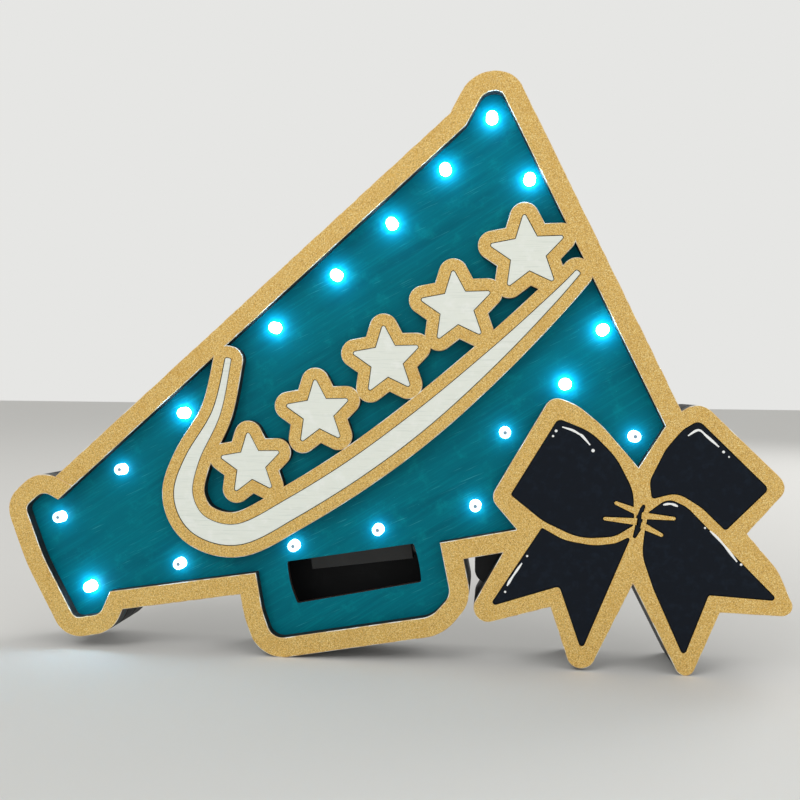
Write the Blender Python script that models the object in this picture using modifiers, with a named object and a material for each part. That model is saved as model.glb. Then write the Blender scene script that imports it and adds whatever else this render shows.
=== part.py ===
"""A light-up cheer megaphone sign: a stack of cut sheets with inlays, eighteen lamps and a battery case.

The sign stands on the XZ plane's edge with its face towards -Y. Its outlines are one drawing in
millimetres, stretched to SIGN_WIDTH and SIGN_HEIGHT; every thickness, border and bought-in piece
keeps its own size. Depths are measured back from the front face.
"""

import math

import bmesh
import bpy
from mathutils import Matrix, Vector

MM = 0.001

# Overall size of the drawing, stretched both ways from the size that it is drawn at.
SIGN_WIDTH = 357 * MM
SIGN_HEIGHT = 265 * MM
DRAWN_WIDTH = 357
DRAWN_HEIGHT = 265

# The sheets, front to back, and the glue line between two of them.
GLUE_LINE = 0.3 * MM
FRAME_THICKNESS = 5 * MM
PANEL_THICKNESS = 3 * MM
BACK_THICKNESS = 3 * MM

BAND_WIDTH = 9 * MM
CUT_LINE = 0.3 * MM
RING_SETBACK = 2 * MM
ARC_STEP = math.radians(30)

# A 5 mm lamp, pushed in from behind until its flange meets the panel.
LAMP_RADIUS = 2.5 * MM
LAMP_FLANGE_RADIUS = LAMP_RADIUS + 0.4 * MM
LAMP_FLANGE = 1 * MM
LAMP_LENGTH = 7.6 * MM
LAMP_TIP_RADIUS = LAMP_RADIUS - 0.8 * MM
LAMP_DIMPLE = 0.7 * MM
LAMP_HOLE_CLEARANCE = 0.2 * MM
LAMP_SIDES = 12

WIRE_RADIUS = 0.8 * MM
WIRE_STEPS = 3

SCREW_LENGTH = 12 * MM
SCREW_SHANK_RADIUS = 1.4 * MM
SCREW_HEAD_RADIUS = 2.8 * MM
SCREW_HEAD_HEIGHT = 1.6 * MM
SCREW_POINT = 2 * MM
SCREW_SIDES = 12

# A case for three AA cells side by side, its lid sliding up and its switch below the lid.
CELL_RADIUS = 7.25 * MM
CELL_LENGTH = 50.5 * MM
CELL_NUB_RADIUS = 2.75 * MM
CELL_NUB = 1 * MM
CELL_COUNT = 3
CELL_SIDES = 16
CELL_SPACING = 0.325 * MM
FIT = 0.3 * MM
CASE_WALL = 1.6 * MM
SPRING_LENGTH = 4.2 * MM
SPRING_WIRE = 0.35 * MM
SPRING_RADIUS = 4.6 * MM
SPRING_TIP_RADIUS = 3 * MM
SPRING_TURNS = 3
SPRING_STEPS = 7
CONTACT_THICKNESS = 0.5 * MM
CONTACT_WIDTH = 9 * MM
CELL_DEPTH_CLEARANCE = 0.4 * MM
SWITCH_BAY = 8.8 * MM
LID_THICKNESS = 1.8 * MM
LID_TRAVEL = 12 * MM
LID_INSET = 1.5 * MM
LID_RIDGES = 3
RIDGE_HEIGHT = 0.6 * MM
SWITCH_TRAVEL = 3 * MM
KNOB_WIDTH = 4 * MM
KNOB_HEIGHT = 2.6 * MM
KNOB_PROUD = 1.2 * MM
SLIDER_WIDTH = 8 * MM
SLIDER_HEIGHT = 5 * MM
SLIDER_THICKNESS = 2 * MM
SWITCH_BODY = (13 * MM, 6 * MM, 5 * MM)
CASE_TILT = math.radians(8)
CASE_FOOT = (-10.7, 41.6)
CASE_GAP = 0.5 * MM
LEAD_HOLE_HEIGHT = 5 * MM
LEAD_DEPTH = 5.4 * MM

# The drawing. A corner is (x, z, radius), in millimetres, going round anticlockwise.
OPENING = (
    (-170.5, 66, 4), (-161.5, 31.5 + 11, 90), (-145.8, 14, 4), (-133.2, 16.2, 6),
    (-128.5, 27.2, 0), (-58.3, 38.4, 0), (-55.2, 21.5, 30), (-50.3, 8, 7),
    (23, 21.4, 12), (31.3, 31, 8), (26.3, 54.8, 0),
    (127, 75, 0), (133.5, 68.8, 5), (143.3, 69.2, 4.5), (51.3, 256.6, 4.5),
    (43.5, 255.3, 7), (36, 241.2, 0), (-154.3, 69.8, 0), (-162, 73.8, 6),
)
SLOT = ((-44.8, 43, 1), (-43.6, 33.2, 40), (-39.8, 23.8, 1), (17.7, 35.7, 1), (16.9, 44.6, 60), (14, 53.1, 1))
BOW = (
    (48.5, 75.5, 6), (60.2, 61.9, 0), (35, 15.7, 6.4), (75.6, 27.8, 0),
    (88.1, -9.5, 6.3), (111.1, 39.3, 0), (134.1, -5.9, 4.2), (148, 28, 0),
    (180.5, 27.2, 4.5), (172, 47, 25), (158.8, 62.6, 0), (176.3, 83.3, 6),
    (138.5, 120, 8), (126.5, 112.5, 14), (112.8, 90.3, 0), (97, 108.5, 45),
    (86, 117.5, 25), (75, 121.5, 6),
)
BOW_LEFT_LOOP = (
    (78, 111, 2.5), (57.8, 77.2, 1), (72, 66, 25), (88, 58.7, 25), (103, 60, 12),
    (111, 65.3, 2), (110.5, 80, 20), (103, 94.5, 30), (92, 105.5, 25),
)
BOW_RIGHT_LOOP = (
    (138, 111, 3), (131.5, 107, 12), (124.5, 98.5, 20), (117.8, 84.5, 8), (118.8, 77, 1),
    (129.5, 80, 10), (140, 73.5, 20), (149.8, 64, 1), (167.3, 82.2, 2),
)
BOW_LEFT_TAIL = (
    (71.5, 62.6, 0.5), (49, 27.3, 1), (79.5, 37.5, 2), (89.3, 9.5, 1), (109.6, 59.8, 0.5),
    (103.5, 56.6, 12), (94, 55.3, 25), (81, 57.4, 20),
)
BOW_RIGHT_TAIL = (
    (117.5, 70.8, 2), (115.8, 61, 20), (115, 52, 20), (120, 37.5, 40), (133, 8.5, 1),
    (143, 35.8, 1.5), (171.8, 34.3, 1), (144, 62.5, 60), (133.5, 73.3, 12), (125.5, 77, 6),
)
BOW_KNOT = ((116.7, 76.6, 0.5), (112.6, 70.5, 6), (111.9, 64.5, 6), (110.4, 57.4, 0.5), (114.4, 64, 8), (114.6, 70, 8))
# The gold border round each star and the sweep is drawn with them, and stretches with them.
MOTIF_BORDER = 5.7

# Each fold runs from its root in the knot to its tip, in millimetres.
FOLD_ROOT_WIDTH = 3
FOLD_TIP_WIDTH = 1.4
LEFT_FOLDS = (((113, 70.8), (103.4, 74.6)), ((113, 66.6), (98.7, 67.6)))
RIGHT_FOLDS = (((114, 69.4), (128.1, 68.4)), ((114, 65.4), (122.9, 61.1)))
BACKER_LOBE = ((41.9, 35.5, 6), (70, 35.5, 0), (70, 70, 0), (41.9, 70, 0))

STAR_COUNT = 5
FIRST_STAR = (-61, 88.5)
STAR_STEP = (31.2, 24)
FIRST_STAR_RADIUS = 15.5
STAR_GROWTH = 0.6
STAR_INNER_SHARE = 0.45
STAR_TILT = math.radians(6)
STAR_POINT_RADIUS = 0.8

# The sweep's middle line, in millimetres, and its half width at the start, widest and end.
SWEEP = (
    (-72, 137), (-77.5, 112), (-89, 90), (-93, 73), (-85, 59.5), (-66, 56), (-41, 69),
    (-10, 89), (21, 113), (52, 141), (76, 165), (86, 176),
)
SWEEP_HALF_WIDTHS = (1.4, 4.8, 4.6, 1.2)
SWEEP_STEPS = 3

LAMPS = (
    (-41.3, 50.8), (-95.8, 40.8), (-139.6, 28.5), (-155.1, 61.1), (-124.7, 84.4), (-94.3, 111.4),
    (-51, 151.3), (-22.5, 175.4), (2.8, 198.6), (26.8, 222.7), (47.4, 245.3), (64.4, 217.6),
    (97.2, 150.7), (81.2, 126.5), (111.5, 103.7), (54.8, 104.5), (41.9, 71.3), (-2.2, 59.3),
)
# Where the six screws stand along the band: each goes to the nearest point of its middle line.
SCREW_SPOTS = ((-140, 15), (-45, 8), (20, 20), (-100, 125), (48, 258), (110, 140))

# Colours as linear (red, green, blue), with each finish's roughness and metallic value.
FINISHES = {
    "gold_paint": ((0.62, 0.41, 0.18), 0.45, 0.6),
    "white_paint": ((0.78, 0.80, 0.76), 0.6, 0.0),
    "teal_paint": ((0.003, 0.15, 0.2), 0.45, 0.0),
    "black_paint": ((0.01, 0.014, 0.02), 0.6, 0.0),
    "bow_black": ((0.012, 0.018, 0.026), 0.7, 0.0),
    "clear_lamp": ((0.75, 0.93, 1.0), 0.1, 0.0),
    "wire_sheath": ((0.02, 0.02, 0.022), 0.45, 0.0),
    "black_plastic": ((0.015, 0.015, 0.017), 0.4, 0.0),
    "cell_sleeve": ((0.05, 0.05, 0.055), 0.35, 0.0),
    "plated_steel": ((0.6, 0.6, 0.58), 0.3, 1.0),
}

# The two rings are as thick as the case, with its lid, needs behind the lamps and their wire.
WIRE_ROOM = 1.2 * MM
BAY_DEPTH = 2 * CELL_RADIUS + 2 * CELL_DEPTH_CLEARANCE
OPEN_CASE_DEPTH = CASE_WALL + BAY_DEPTH
CASE_DEPTH = OPEN_CASE_DEPTH + FIT + LID_THICKNESS
BEHIND_LAMPS = LAMP_FLANGE + FIT + 2 * WIRE_RADIUS + WIRE_ROOM + CASE_DEPTH + LID_INSET
RING_THICKNESS = (BEHIND_LAMPS - 2 * GLUE_LINE - BACK_THICKNESS) / 2

# Depths of each sheet, (front, back), from the sign's front face.
FRAME_SPAN = (0, FRAME_THICKNESS)
PANEL_SPAN = (FRAME_SPAN[1] + GLUE_LINE, FRAME_SPAN[1] + GLUE_LINE + PANEL_THICKNESS)
RING_SPAN = (PANEL_SPAN[1] + GLUE_LINE, PANEL_SPAN[1] + GLUE_LINE + RING_THICKNESS)
REAR_RING_SPAN = (RING_SPAN[1] + GLUE_LINE, RING_SPAN[1] + GLUE_LINE + RING_THICKNESS)
BACK_SPAN = (REAR_RING_SPAN[1] + GLUE_LINE, REAR_RING_SPAN[1] + GLUE_LINE + BACK_THICKNESS)
DEPTH = BACK_SPAN[1]
CUTTER_OVERRUN = 1 * MM


def clear_scene():
    """Removes the objects that a new scene starts with."""
    for obj in list(bpy.data.objects):
        bpy.data.objects.remove(obj)


def make_collection(name, parent):
    collection = bpy.data.collections.new(name)
    parent.children.link(collection)
    return collection


def make_material(name):
    """The finish's Principled material, made once."""
    if name in bpy.data.materials:
        return bpy.data.materials[name]
    colour, roughness, metallic = FINISHES[name]
    material = bpy.data.materials.new(name)
    material.use_nodes = True
    shader = material.node_tree.nodes["Principled BSDF"]
    shader.inputs["Base Color"].default_value = (*colour, 1)
    shader.inputs["Roughness"].default_value = roughness
    shader.inputs["Metallic"].default_value = metallic
    material.diffuse_color = (*colour, 1)
    return material


# Outlines


def rounded(corners):
    """The closed outline through these (x, z, radius) corners, each rounded by an arc."""
    outline = []
    for index, (x, z, radius) in enumerate(corners):
        here = Vector((x, z))
        if not radius:
            outline.append(here)
            continue
        back = (Vector(corners[index - 1][:2]) - here).normalized()
        ahead = (Vector(corners[(index + 1) % len(corners)][:2]) - here).normalized()
        half = back.angle(ahead) / 2
        centre = here + (back + ahead).normalized() * radius / math.sin(half)
        start = here + back * radius / math.tan(half) - centre
        turn = math.copysign(math.pi - 2 * half, ahead.cross(back))
        steps = max(1, round(abs(turn) / ARC_STEP))
        for step in range(steps + 1):
            outline.append(centre + turned_by(start, turn * step / steps))
    return outline


def turned_by(vector, angle):
    cosine, sine = math.cos(angle), math.sin(angle)
    return Vector((vector.x * cosine - vector.y * sine, vector.x * sine + vector.y * cosine))


def grown(outline, distance, mitred=False):
    """The outline moved outwards, with inward corners mitred and outward ones round unless told otherwise."""
    moved = []
    for index, here in enumerate(outline):
        before = (here - outline[index - 1]).normalized()
        after = (outline[(index + 1) % len(outline)] - here).normalized()
        first = Vector((before.y, -before.x))
        turn = math.atan2(before.cross(after), before.dot(after))
        if turn > ARC_STEP and not mitred:
            steps = math.ceil(turn / ARC_STEP)
            moved += [here + turned_by(first, turn * step / steps) * distance for step in range(steps + 1)]
        else:
            moved.append(here + turned_by(first, turn / 2) * distance / math.cos(turn / 2))
    return moved


def stretched(outline):
    """Drawing points in metres, at the sign's own width and height."""
    wide, high = SIGN_WIDTH / DRAWN_WIDTH, SIGN_HEIGHT / DRAWN_HEIGHT
    return [Vector((x * wide, z * high)) for x, z in outline]


def smooth_line(points, steps):
    """Points along a smooth curve through the given points."""
    line = []
    for index in range(len(points) - 1):
        p0, p1 = points[max(index - 1, 0)], points[index]
        p2, p3 = points[index + 1], points[min(index + 2, len(points) - 1)]
        for step in range(steps):
            t = step / steps
            line.append(
                0.5 * (2 * p1 + (p2 - p0) * t + (2 * p0 - 5 * p1 + 4 * p2 - p3) * t * t
                       + (3 * p1 - p0 - 3 * p2 + p3) * t ** 3)
            )
    line.append(points[-1])
    return line


def star(number):
    """The corners of one five-pointed star of the row, counted from 0."""
    centre = Vector(FIRST_STAR) + number * Vector(STAR_STEP)
    radius = FIRST_STAR_RADIUS + STAR_GROWTH * number
    corners = []
    for point in range(5):
        for share, inward in ((1, 0), (STAR_INNER_SHARE, 1)):
            angle = STAR_TILT + math.pi / 2 + math.tau * (point + inward / 2) / 5
            spot = centre + radius * share * Vector((math.cos(angle), math.sin(angle)))
            corners.append((*spot, 0 if inward else STAR_POINT_RADIUS))
    return rounded(corners)


def sweep():
    """The sweep's outline: its middle line with a width that swells and tapers."""
    line = smooth_line([Vector(point) for point in SWEEP], SWEEP_STEPS)
    right, left = [], []
    for index, here in enumerate(line):
        along = (line[min(index + 1, len(line) - 1)] - line[max(index - 1, 0)]).normalized()
        place = index / (len(line) - 1) * (len(SWEEP_HALF_WIDTHS) - 1)
        lower = min(int(place), len(SWEEP_HALF_WIDTHS) - 2)
        share = (1 - math.cos(math.pi * (place - lower))) / 2
        half = SWEEP_HALF_WIDTHS[lower] * (1 - share) + SWEEP_HALF_WIDTHS[lower + 1] * share
        side = Vector((along.y, -along.x)) * half
        right.append(here + side)
        left.append(here - side)
    return right + left[::-1]


def fold(root, tip):
    """One gold crease: a finger that tapers from the knot to a round tip."""
    root, tip = Vector(root), Vector(tip)
    along = (tip - root).normalized()
    side = Vector((along.y, -along.x))
    round_end = [
        tip + turned_by(side, math.pi * step / 4) * FOLD_TIP_WIDTH / 2
        for step in range(5)
    ]
    return [root - side * FOLD_ROOT_WIDTH / 2, root + side * FOLD_ROOT_WIDTH / 2] + round_end


# Solids


def at_depth(x, z, depth):
    """A point of the sign in world coordinates."""
    drop = foot_height()
    return Vector((x - middle(), depth - DEPTH / 2, z - drop))


def foot_height():
    """The lowest point of the silhouette as drawn, which stands at z = 0."""
    return min(point.y for point in grown(OPENING_LINE, BAND_WIDTH) + BOW_LINE)


def middle():
    """The middle of the silhouette's width as drawn, which stands at x = 0."""
    across = [point.x for point in grown(OPENING_LINE, BAND_WIDTH) + BOW_LINE]
    return (min(across) + max(across)) / 2


def sheet(name, outline, span, finish, collection):
    """A flat piece cut to the outline, between two depths."""
    curve = bpy.data.curves.new(name, "CURVE")
    curve.dimensions = "2D"
    curve.fill_mode = "BOTH"
    curve.extrude = (span[1] - span[0]) / 2
    spline = curve.splines.new("POLY")
    spline.points.add(len(outline) - 1)
    for point, (x, z) in zip(spline.points, outline):
        point.co = (x, z, 0, 1)
    spline.use_cyclic_u = True
    obj = bpy.data.objects.new(name, curve)
    collection.objects.link(obj)
    obj.location = at_depth(0, 0, (span[0] + span[1]) / 2)
    obj.rotation_euler.x = math.pi / 2
    return finished(as_mesh(obj), finish)


def as_mesh(obj):
    """The curve object as a mesh object with its caps welded."""
    bpy.context.view_layer.update()
    graph = bpy.context.evaluated_depsgraph_get()
    mesh = bpy.data.meshes.new_from_object(obj.evaluated_get(graph))
    shape = bmesh.new()
    shape.from_mesh(mesh)
    bmesh.ops.remove_doubles(shape, verts=shape.verts, dist=1e-6)
    bmesh.ops.recalc_face_normals(shape, faces=shape.faces)
    shape.to_mesh(mesh)
    shape.free()
    name, matrix, collection = obj.name, obj.matrix_world.copy(), obj.users_collection[0]
    bpy.data.objects.remove(obj)
    solid = bpy.data.objects.new(name, mesh)
    solid.matrix_world = matrix
    collection.objects.link(solid)
    return solid


def finished(obj, finish):
    obj.data.materials.clear()
    obj.data.materials.append(make_material(finish))
    return obj


def turned(name, profile, sides, finish, collection):
    """A turned piece from (radius, height) points that run down its outer side."""
    mesh = bpy.data.meshes.new(name)
    mesh.from_pydata([(radius, 0, height) for radius, height in profile],
                     [(i, i + 1) for i in range(len(profile) - 1)], [])
    obj = bpy.data.objects.new(name, mesh)
    collection.objects.link(obj)
    screw = obj.modifiers.new("turn", "SCREW")
    screw.steps = screw.render_steps = sides
    screw.use_merge_vertices = True
    screw.merge_threshold = 0.00001
    screw.use_smooth_shade = False
    return finished(obj, finish)


def box(name, low, high, finish, collection, bevel=0):
    """A box between two corners, with its edges rounded off where a bevel is given."""
    mesh = bpy.data.meshes.new(name)
    shape = bmesh.new()
    size = Vector(high) - Vector(low)
    place = Matrix.Translation((Vector(high) + Vector(low)) / 2) @ Matrix.Diagonal((*size, 1))
    bmesh.ops.create_cube(shape, size=1, matrix=place)
    shape.to_mesh(mesh)
    shape.free()
    obj = bpy.data.objects.new(name, mesh)
    collection.objects.link(obj)
    if bevel:
        round_off = obj.modifiers.new("edges", "BEVEL")
        round_off.width = bevel
        round_off.segments = 1
    return finished(obj, finish)


def wire(name, points, radius, finish, collection):
    """A round wire along the points."""
    curve = bpy.data.curves.new(name, "CURVE")
    curve.dimensions = "3D"
    curve.bevel_depth = radius
    curve.bevel_resolution = 2
    curve.use_fill_caps = True
    spline = curve.splines.new("POLY")
    spline.points.add(len(points) - 1)
    for point, place in zip(spline.points, points):
        point.co = (*place, 1)
    obj = bpy.data.objects.new(name, curve)
    collection.objects.link(obj)
    return finished(obj, finish)


def combine(obj, operation, other):
    """Notes a Boolean with an object or a whole collection, for make_cuts to add."""
    CUTS.append((obj, operation, other))


def make_cuts():
    """Adds the Booleans once every piece stands, so that each is worked out only once."""
    for obj, operation, other in CUTS:
        boolean = obj.modifiers.new(operation.lower(), "BOOLEAN")
        boolean.operation = operation
        boolean.solver = "EXACT"
        if isinstance(other, bpy.types.Collection):
            boolean.operand_type = "COLLECTION"
            boolean.collection = other
        else:
            boolean.object = other


def as_cutter(obj):
    obj.hide_render = True
    obj.display_type = "WIRE"
    return obj


def longer(span, more):
    """The span with this much added at both ends, so that no two faces of a cut coincide."""
    return (span[0] - more, span[1] + more)


CUTS = []

clear_scene()
sign = make_collection("cheer_megaphone_sign", bpy.context.scene.collection)
cutters = make_collection("cutters", bpy.context.scene.collection)

OPENING_LINE = stretched(rounded(OPENING))
BOW_LINE = stretched(rounded(BOW))
BAND_LINE = grown(OPENING_LINE, BAND_WIDTH)


def silhouette(name, span, finish, collection):
    """The sign's whole outline, megaphone and bow together, as one sheet."""
    band = sheet(name, BAND_LINE, longer(span, CUTTER_OVERRUN), finish, collection)
    bow = as_cutter(sheet(name + "_bow", BOW_LINE, longer(span, 2 * CUTTER_OVERRUN), finish, cutters))
    combine(band, "UNION", bow)
    trim_to(band, span)
    return band


def trim_to(obj, span):
    """Cuts the piece down to the span, flat on both faces."""
    reach = SIGN_WIDTH + SIGN_HEIGHT
    low, high = Vector((-reach, span[0] - DEPTH / 2, -reach)), Vector((reach, span[1] - DEPTH / 2, reach))
    combine(obj, "INTERSECT", as_cutter(box(obj.name + "_slab", low, high, "black_paint", cutters)))


# (node, outline, folds, finish) of each inlay, in the drawing's millimetres.
INLAYS = (
    *((f"star_inlay_{number + 1}", star(number), (), "white_paint") for number in range(STAR_COUNT)),
    ("sweep_inlay", sweep(), (), "white_paint"),
    ("bow_left_loop", rounded(BOW_LEFT_LOOP), LEFT_FOLDS, "bow_black"),
    ("bow_right_loop", rounded(BOW_RIGHT_LOOP), (), "bow_black"),
    ("bow_left_tail", rounded(BOW_LEFT_TAIL), (), "bow_black"),
    ("bow_right_tail", rounded(BOW_RIGHT_TAIL), RIGHT_FOLDS, "bow_black"),
    ("bow_knot", rounded(BOW_KNOT), (), "bow_black"),
)


def build_frame():
    """The gold front sheet: band, motif border and bow border in one, with its inlay pockets."""
    frame = sheet("face_frame", BAND_LINE, longer(FRAME_SPAN, CUTTER_OVERRUN), "gold_paint", sign)
    hole = sheet("frame_opening", OPENING_LINE, longer(FRAME_SPAN, 2 * CUTTER_OVERRUN), "gold_paint", cutters)
    combine(frame, "DIFFERENCE", as_cutter(hole))
    borders = make_collection("frame_borders", cutters)
    pockets = make_collection("frame_pockets", cutters)
    as_cutter(sheet("bow_border", BOW_LINE, longer(FRAME_SPAN, 1.5 * CUTTER_OVERRUN), "gold_paint", borders))
    for number, (name, drawn, folds, _) in enumerate(INLAYS):
        outline = stretched(drawn)
        if not name.startswith("bow"):
            more = CUTTER_OVERRUN * (1.1 + 0.05 * number)
            edge = stretched(grown(drawn, MOTIF_BORDER))
            as_cutter(sheet(name + "_border", edge, longer(FRAME_SPAN, more), "gold_paint", borders))
        span = longer(FRAME_SPAN, 3 * CUTTER_OVERRUN)
        pocket = as_cutter(sheet(name + "_pocket", grown(outline, CUT_LINE, mitred=True), span, "gold_paint", pockets))
        for crease, (root, tip) in enumerate(folds):
            outline = stretched(fold(root, tip))
            span = longer(FRAME_SPAN, (4 + crease) * CUTTER_OVERRUN)
            combine(pocket, "DIFFERENCE", as_cutter(sheet(f"{name}_crease_{crease}", outline, span, "gold_paint", cutters)))
    combine(frame, "UNION", borders)
    combine(frame, "DIFFERENCE", pockets)
    trim_to(frame, FRAME_SPAN)


def build_inlays():
    """The white and black pieces let flush into the gold sheet."""
    for name, drawn, folds, finish in INLAYS:
        inlay = sheet(name, stretched(drawn), FRAME_SPAN, finish, sign)
        for crease, (root, tip) in enumerate(folds):
            outline = grown(stretched(fold(root, tip)), CUT_LINE, mitred=True)
            span = longer(FRAME_SPAN, (1 + crease) * CUTTER_OVERRUN)
            combine(inlay, "DIFFERENCE", as_cutter(sheet(f"{name}_fold_{crease}", outline, span, finish, cutters)))


def lamp_spots():
    return stretched(LAMPS)


def build_panel():
    """The teal panel with its slot and lamp holes."""
    panel = silhouette("face_panel", PANEL_SPAN, "teal_paint", sign)
    holes = make_collection("panel_holes", cutters)
    span = longer(PANEL_SPAN, 2 * CUTTER_OVERRUN)
    as_cutter(sheet("panel_slot", stretched(rounded(SLOT)), span, "teal_paint", holes))
    radius = LAMP_RADIUS + LAMP_HOLE_CLEARANCE
    length = span[1] - span[0]
    for number, spot in enumerate(lamp_spots(), 1):
        profile = ((0, length / 2), (radius, length / 2), (radius, -length / 2), (0, -length / 2))
        hole = turned(f"lamp_hole_{number:02}", profile, LAMP_SIDES, "teal_paint", holes)
        hole.location = at_depth(spot.x, spot.y, sum(PANEL_SPAN) / 2)
        hole.rotation_euler.x = math.pi / 2
        as_cutter(hole)
    combine(panel, "DIFFERENCE", holes)


def build_lamps():
    """Eighteen clear lamps with a dimpled tip, their flanges behind the panel."""
    profile = (
        (0, LAMP_LENGTH - LAMP_DIMPLE), (LAMP_TIP_RADIUS, LAMP_LENGTH),
        (LAMP_RADIUS, LAMP_LENGTH - LAMP_DIMPLE), (LAMP_RADIUS, 0), (LAMP_FLANGE_RADIUS, 0),
        (LAMP_FLANGE_RADIUS, -LAMP_FLANGE), (0, -LAMP_FLANGE),
    )
    for number, spot in enumerate(lamp_spots(), 1):
        lamp = turned(f"lamp_{number:02}", profile, LAMP_SIDES, "clear_lamp", sign)
        lamp.location = at_depth(spot.x, spot.y, PANEL_SPAN[1] + GLUE_LINE)
        lamp.rotation_euler.x = math.pi / 2


def build_rings():
    """The two spacer rings that give the sign its depth."""
    inner = grown(OPENING_LINE, RING_SETBACK)
    for name, span in (("spacer_ring_front", RING_SPAN), ("spacer_ring_rear", REAR_RING_SPAN)):
        ring = sheet(name, BAND_LINE, span, "black_paint", sign)
        hole = sheet(name + "_hole", inner, longer(span, CUTTER_OVERRUN), "black_paint", cutters)
        combine(ring, "DIFFERENCE", as_cutter(hole))
        if span == REAR_RING_SPAN:
            combine(ring, "DIFFERENCE", screw_holes(name))


def build_backer():
    """The block behind the bow, cut round the megaphone, with the lobe that shows beside the tail."""
    span = (RING_SPAN[0], REAR_RING_SPAN[1])
    backer = sheet("bow_backer", BOW_LINE, longer(span, CUTTER_OVERRUN), "black_paint", sign)
    lobe = sheet("backer_lobe", stretched(rounded(BACKER_LOBE)), longer(span, 2 * CUTTER_OVERRUN), "black_paint", cutters)
    combine(backer, "UNION", as_cutter(lobe))
    around = grown(OPENING_LINE, BAND_WIDTH + GLUE_LINE)
    hole = sheet("backer_hole", around, longer(span, 3 * CUTTER_OVERRUN), "black_paint", cutters)
    combine(backer, "DIFFERENCE", as_cutter(hole))
    trim_to(backer, span)


def screw_spots():
    """The middle of the ring's wall, nearest to each wanted spot."""
    line = grown(OPENING_LINE, (RING_SETBACK + BAND_WIDTH) / 2)
    spots = []
    for wanted in stretched(SCREW_SPOTS):
        best = None
        for index, end in enumerate(line):
            start = line[index - 1]
            along = end - start
            share = min(1, max(0, (wanted - start).dot(along) / along.length_squared))
            point = start + along * share
            if best is None or (point - wanted).length < (best - wanted).length:
                best = point
        spots.append(best)
    return spots


def screw_profile(room):
    """A countersunk screw, pointing forwards, with this much room all round."""
    shank, head = SCREW_SHANK_RADIUS + room, SCREW_HEAD_RADIUS + room
    return (
        (0, SCREW_LENGTH + room), (shank, SCREW_LENGTH - SCREW_POINT),
        (shank, SCREW_HEAD_HEIGHT), (head, 0), (head, -room * 4), (0, -room * 4),
    ) if room else (
        (0, SCREW_LENGTH), (shank, SCREW_LENGTH - SCREW_POINT),
        (shank, SCREW_HEAD_HEIGHT), (head, 0), (0, 0),
    )


def place_screws(name, room, collection):
    screws = []
    for number, spot in enumerate(screw_spots(), 1):
        screw = turned(f"{name}_{number}", screw_profile(room), SCREW_SIDES, "plated_steel", collection)
        screw.location = at_depth(spot.x, spot.y, DEPTH - GLUE_LINE)
        screw.rotation_euler.x = math.pi / 2
        screws.append(screw)
    return screws


def screw_holes(name):
    holes = make_collection(name + "_screw_holes", cutters)
    for hole in place_screws(name + "_screw_hole", FIT, holes):
        as_cutter(hole)
    return holes


def cell_bay():
    """The cell bay's width and length."""
    width = CELL_COUNT * 2 * CELL_RADIUS + (CELL_COUNT + 1) * CELL_SPACING
    return width, CELL_LENGTH + SPRING_LENGTH + CONTACT_THICKNESS + 4 * FIT


def case_size():
    """The case's outer width and length."""
    width, length = cell_bay()
    return width + 2 * CASE_WALL, length + SWITCH_BAY + 3 * CASE_WALL


def case_matrix():
    """From the case's frame, its foot's middle at its rear face, to the world."""
    foot = stretched([CASE_FOOT])[0]
    place = Matrix.Translation(at_depth(foot.x, foot.y, DEPTH - LID_INSET))
    return place @ Matrix.Rotation(-CASE_TILT, 4, "Y")


def build_back_panel():
    """The rear cover, cut out for the battery case, its lid's travel and the screws."""
    panel = silhouette("back_panel", BACK_SPAN, "black_paint", sign)
    width, length = case_size()
    low = Vector((-width / 2 - CASE_GAP, -BACK_THICKNESS * 2, -CASE_GAP))
    high = Vector((width / 2 + CASE_GAP, BACK_THICKNESS * 2, length + LID_TRAVEL + CASE_GAP))
    window = box("case_window", low, high, "black_paint", cutters)
    window.matrix_world = case_matrix()
    combine(panel, "DIFFERENCE", as_cutter(window))
    combine(panel, "DIFFERENCE", screw_holes("back_panel"))


def build_case():
    """The battery case with its cell bay, switch bay, switch slot and lead hole."""
    width, length = case_size()
    bay_width, bay_length = cell_bay()
    frame = case_matrix()
    bay_floor = 2 * CASE_WALL + SWITCH_BAY
    case = box("battery_case", (-width / 2, -CASE_DEPTH, 0), (width / 2, 0, length), "black_plastic", sign)
    hollows = make_collection("case_hollows", cutters)
    front = -CASE_DEPTH + CASE_WALL
    pieces = (
        box("lid_room", (-width, OPEN_CASE_DEPTH - CASE_DEPTH, bay_floor - CASE_WALL / 2 - FIT), (width, width, length * 2),
            "black_plastic", hollows),
        box("cell_room", (-bay_width / 2, front, bay_floor), (bay_width / 2, width, bay_floor + bay_length),
            "black_plastic", hollows),
        box("switch_room", (-bay_width / 2, front, CASE_WALL),
            (bay_width / 2, -CASE_WALL, CASE_WALL + SWITCH_BAY), "black_plastic", hollows),
        box("knob_slot", (-(KNOB_WIDTH + SWITCH_TRAVEL) / 2 - FIT, -width, switch_height() - KNOB_HEIGHT / 2 - FIT),
            ((KNOB_WIDTH + SWITCH_TRAVEL) / 2 + FIT, width, switch_height() + KNOB_HEIGHT / 2 + FIT),
            "black_plastic", hollows),
    )
    # The knob slot only opens the rear wall.
    pieces[3].data.transform(Matrix.Translation((0, width - CASE_WALL * 1.5, 0)))
    for piece in pieces:
        piece.matrix_world = frame
        as_cutter(piece)
    lead = turned("lead_hole", ((0, 2 * CASE_WALL), (WIRE_RADIUS + FIT, 2 * CASE_WALL),
                                (WIRE_RADIUS + FIT, -2 * CASE_WALL), (0, -2 * CASE_WALL)),
                  LAMP_SIDES, "black_plastic", hollows)
    spot = Matrix.Translation((-width / 2, LEAD_DEPTH - CASE_DEPTH, LEAD_HOLE_HEIGHT))
    lead.matrix_world = frame @ spot @ Matrix.Rotation(math.pi / 2, 4, "Y")
    as_cutter(lead)
    case.matrix_world = frame
    combine(case, "DIFFERENCE", hollows)


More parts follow.
